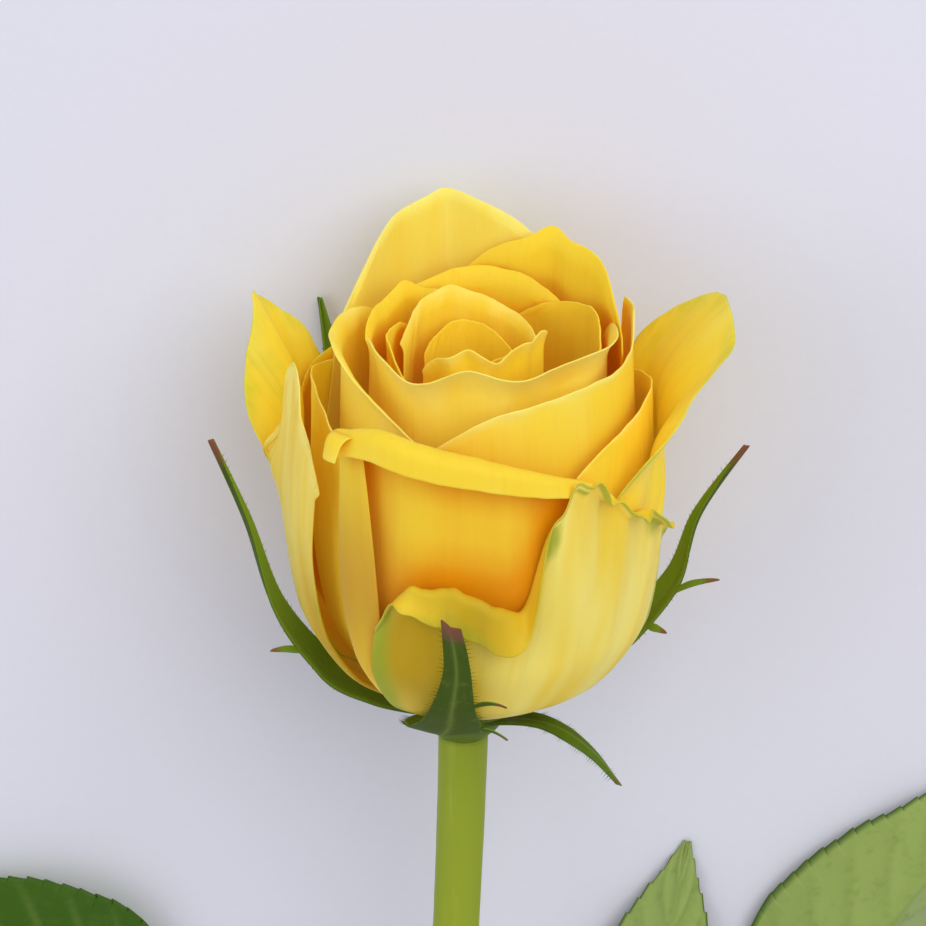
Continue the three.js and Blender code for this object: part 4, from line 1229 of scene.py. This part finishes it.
def stalkMeshes(leaf):
    shape = leafShape
    start = toWorld(stemMiddle(leaf["down"])) / mm
    start[0] += leaf["side"] * (float(stemRadiusAt(leaf["down"])) - shape["stalkSunk"])
    low = shape["stalkRadius"] + 0.1
    stops = [start] + [np.array([x + foot[0], y + foot[1], low]) for x, y in leaf["path"]]
    stops = np.array(stops)
    share = np.linspace(0, 1, shape["stalkRings"])
    centres = np.stack([along(stops[:, k], share) for k in range(3)], axis=-1)
    centres[:, 2] = np.maximum(centres[:, 2], low)
    swell = shape["stalkSwell"] * hump(share, 0, 0.05)
    radii = shape["stalkRadius"] * (1 + swell - shape["stalkTaper"] * share)
    zero = 0 * share
    marks = {"inner": zero, "vein": zero, "brown": 0.5 * hump(share, 0, 0.04)}
    meshes = [tubeMesh("stalk", circles(centres, radii, 14), marks, world=False)]
    for leaflet in leaf["leaflets"]:  # the short stalk of each leaflet
        base = np.array([*(leaflet["base"] + foot[:2]), low * 0.8])
        nearest = centres[np.argmin(np.linalg.norm(centres - base, axis=1))]
        a = math.radians(leaflet["heading"])
        tip = base + np.array([math.cos(a), math.sin(a), 0]) * shape["linkReach"]
        link = np.linspace(0, 1, 10)
        path = nearest[None] * (1 - link[:, None]) + tip[None] * link[:, None]
        zero = 0 * link
        marks = {"inner": zero, "vein": zero, "brown": zero}
        rings = circles(path, shape["linkRadius"] + zero, 10)
        meshes.append(tubeMesh("link", rings, marks, world=False))
    for side in (-1, 1):  # the stipules, two narrow wings at the foot of the stalk
        n = shape["stipuleRings"]
        out = side * unit(np.cross(np.gradient(centres[:n], axis=0), [0, 0, 1]))
        width = shape["stipuleWidth"] * np.sin(np.linspace(0.25, 1, n) * math.pi) ** 0.5 + 0.3
        u = np.linspace(0, 1, 5)
        wing = centres[None, :n] + out[None] * (0.4 + u[:, None] * width[None])[..., None]
        wing[..., 2] -= 0.15 * side * u[:, None] ** 2
        if side > 0:
            wing = wing[::-1]
        flat = np.zeros(wing.shape[:2])
        marks = {"inner": (flat, flat + 1), "vein": (flat, flat), "brown": (flat, flat)}
        meshes.append(sheetMesh("stipule", wing, shape["stipuleThickness"], marks, world=False))
    return meshes


for leaf in leaves:
    name = leaf["name"]
    stalk = joined(f"{name}_stalk", stalkMeshes(leaf))
    finished(stalk, stemStuff, [f"{name}_stalk"])
    for n, leaflet in enumerate(leaf["leaflets"]):
        title = f"{name}_leaflet_{n + 1}"
        finished(leafletMesh(title, leaflet, leaf.get("under", False)), leafStuff, [title])
print("leaves made")


studio = {
    "floor": rgb(226, 227, 238),
    "floorSize": 4.0,
    "floorGrain": 900.0,
    "floorPaler": 1.03,
    "floorRoughness": 0.82,
    "air": rgb(232, 231, 238),
    "airStrength": 0.7,
    "keyPower": 3.1,
    "keySize": 0.8,
    "keyWay": (0.32, 0.42, 0.6),  # from the bloom, in metres
    "keyColour": (1, 0.985, 0.96),
    "fillPower": 1.2,
    "fillSize": 0.7,
    "fillWay": (-0.65, 0.1, 0.5),
    "fillColour": (0.96, 0.97, 1),
    "cameraAway": 0.6,
    "cameraRaised": 24.0,  # degrees above level, if the bloom stood upright
    "lens": 191.3,
    "aim": 36.7,  # mm up the bloom
}


def floorMesh():
    half = studio["floorSize"] / 2
    corners = [(-half, -half, 0), (half, -half, 0), (half, half, 0), (-half, half, 0)]
    mesh = bpy.data.meshes.new("floor")
    mesh.from_pydata(corners, [], [(0, 1, 2, 3)])
    made, wire, plug = material("floorPaper", {"Specular IOR Level": 0.15})
    spot = wire.node("ShaderNodeTexCoord", output="Object")
    grain = wire.noise(spot, studio["floorGrain"], 2.0, 0.5)
    paler = tuple(min(c * studio["floorPaler"], 1) for c in studio["floor"])
    plug("Base Color", wire.mixed(studio["floor"], paler, grain))
    plug("Roughness", studio["floorRoughness"] + grain * 0.1)
    mesh.materials.append(made)
    return inScene("floor", mesh)


floorMesh()

target = Vector(toWorld(np.array([0, 0, studio["aim"]])))
steep = math.radians(studio["cameraRaised"]) - tilt
toCamera = Vector((0, math.sin(steep), math.cos(steep)))
imageUp = Vector((0, math.cos(steep), -math.sin(steep)))


def softLight(name, power, size, way, colour):
    lamp = bpy.data.lights.new(name, "AREA")
    lamp.energy = power
    lamp.shape = "DISK"
    lamp.size = size
    lamp.color = colour
    piece = inScene(name, lamp)
    piece.location = target + Vector(way)
    piece.rotation_euler = Vector(way).to_track_quat("Z", "Y").to_euler()


softLight("keyLight", studio["keyPower"], studio["keySize"], studio["keyWay"], studio["keyColour"])
softLight("fillLight", studio["fillPower"], studio["fillSize"], studio["fillWay"], studio["fillColour"])

world = bpy.data.worlds.new("studioAir")
world.use_nodes = True
air = world.node_tree.nodes["Background"]
air.inputs["Color"].default_value = studio["air"]
air.inputs["Strength"].default_value = studio["airStrength"]
bpy.context.scene.world = world
bpy.context.scene.view_settings.view_transform = "Standard"

lensData = bpy.data.cameras.new("camera")
lensData.lens = studio["lens"]
lensData.sensor_width = 36
lensData.clip_start = 0.01
camera = inScene("camera", lensData)
turn = Matrix((Vector((1, 0, 0)), imageUp, toCamera)).transposed().to_4x4()
camera.matrix_world = Matrix.Translation(target + toCamera * studio["cameraAway"]) @ turn
bpy.context.scene.camera = camera
print("floor, light and camera set")
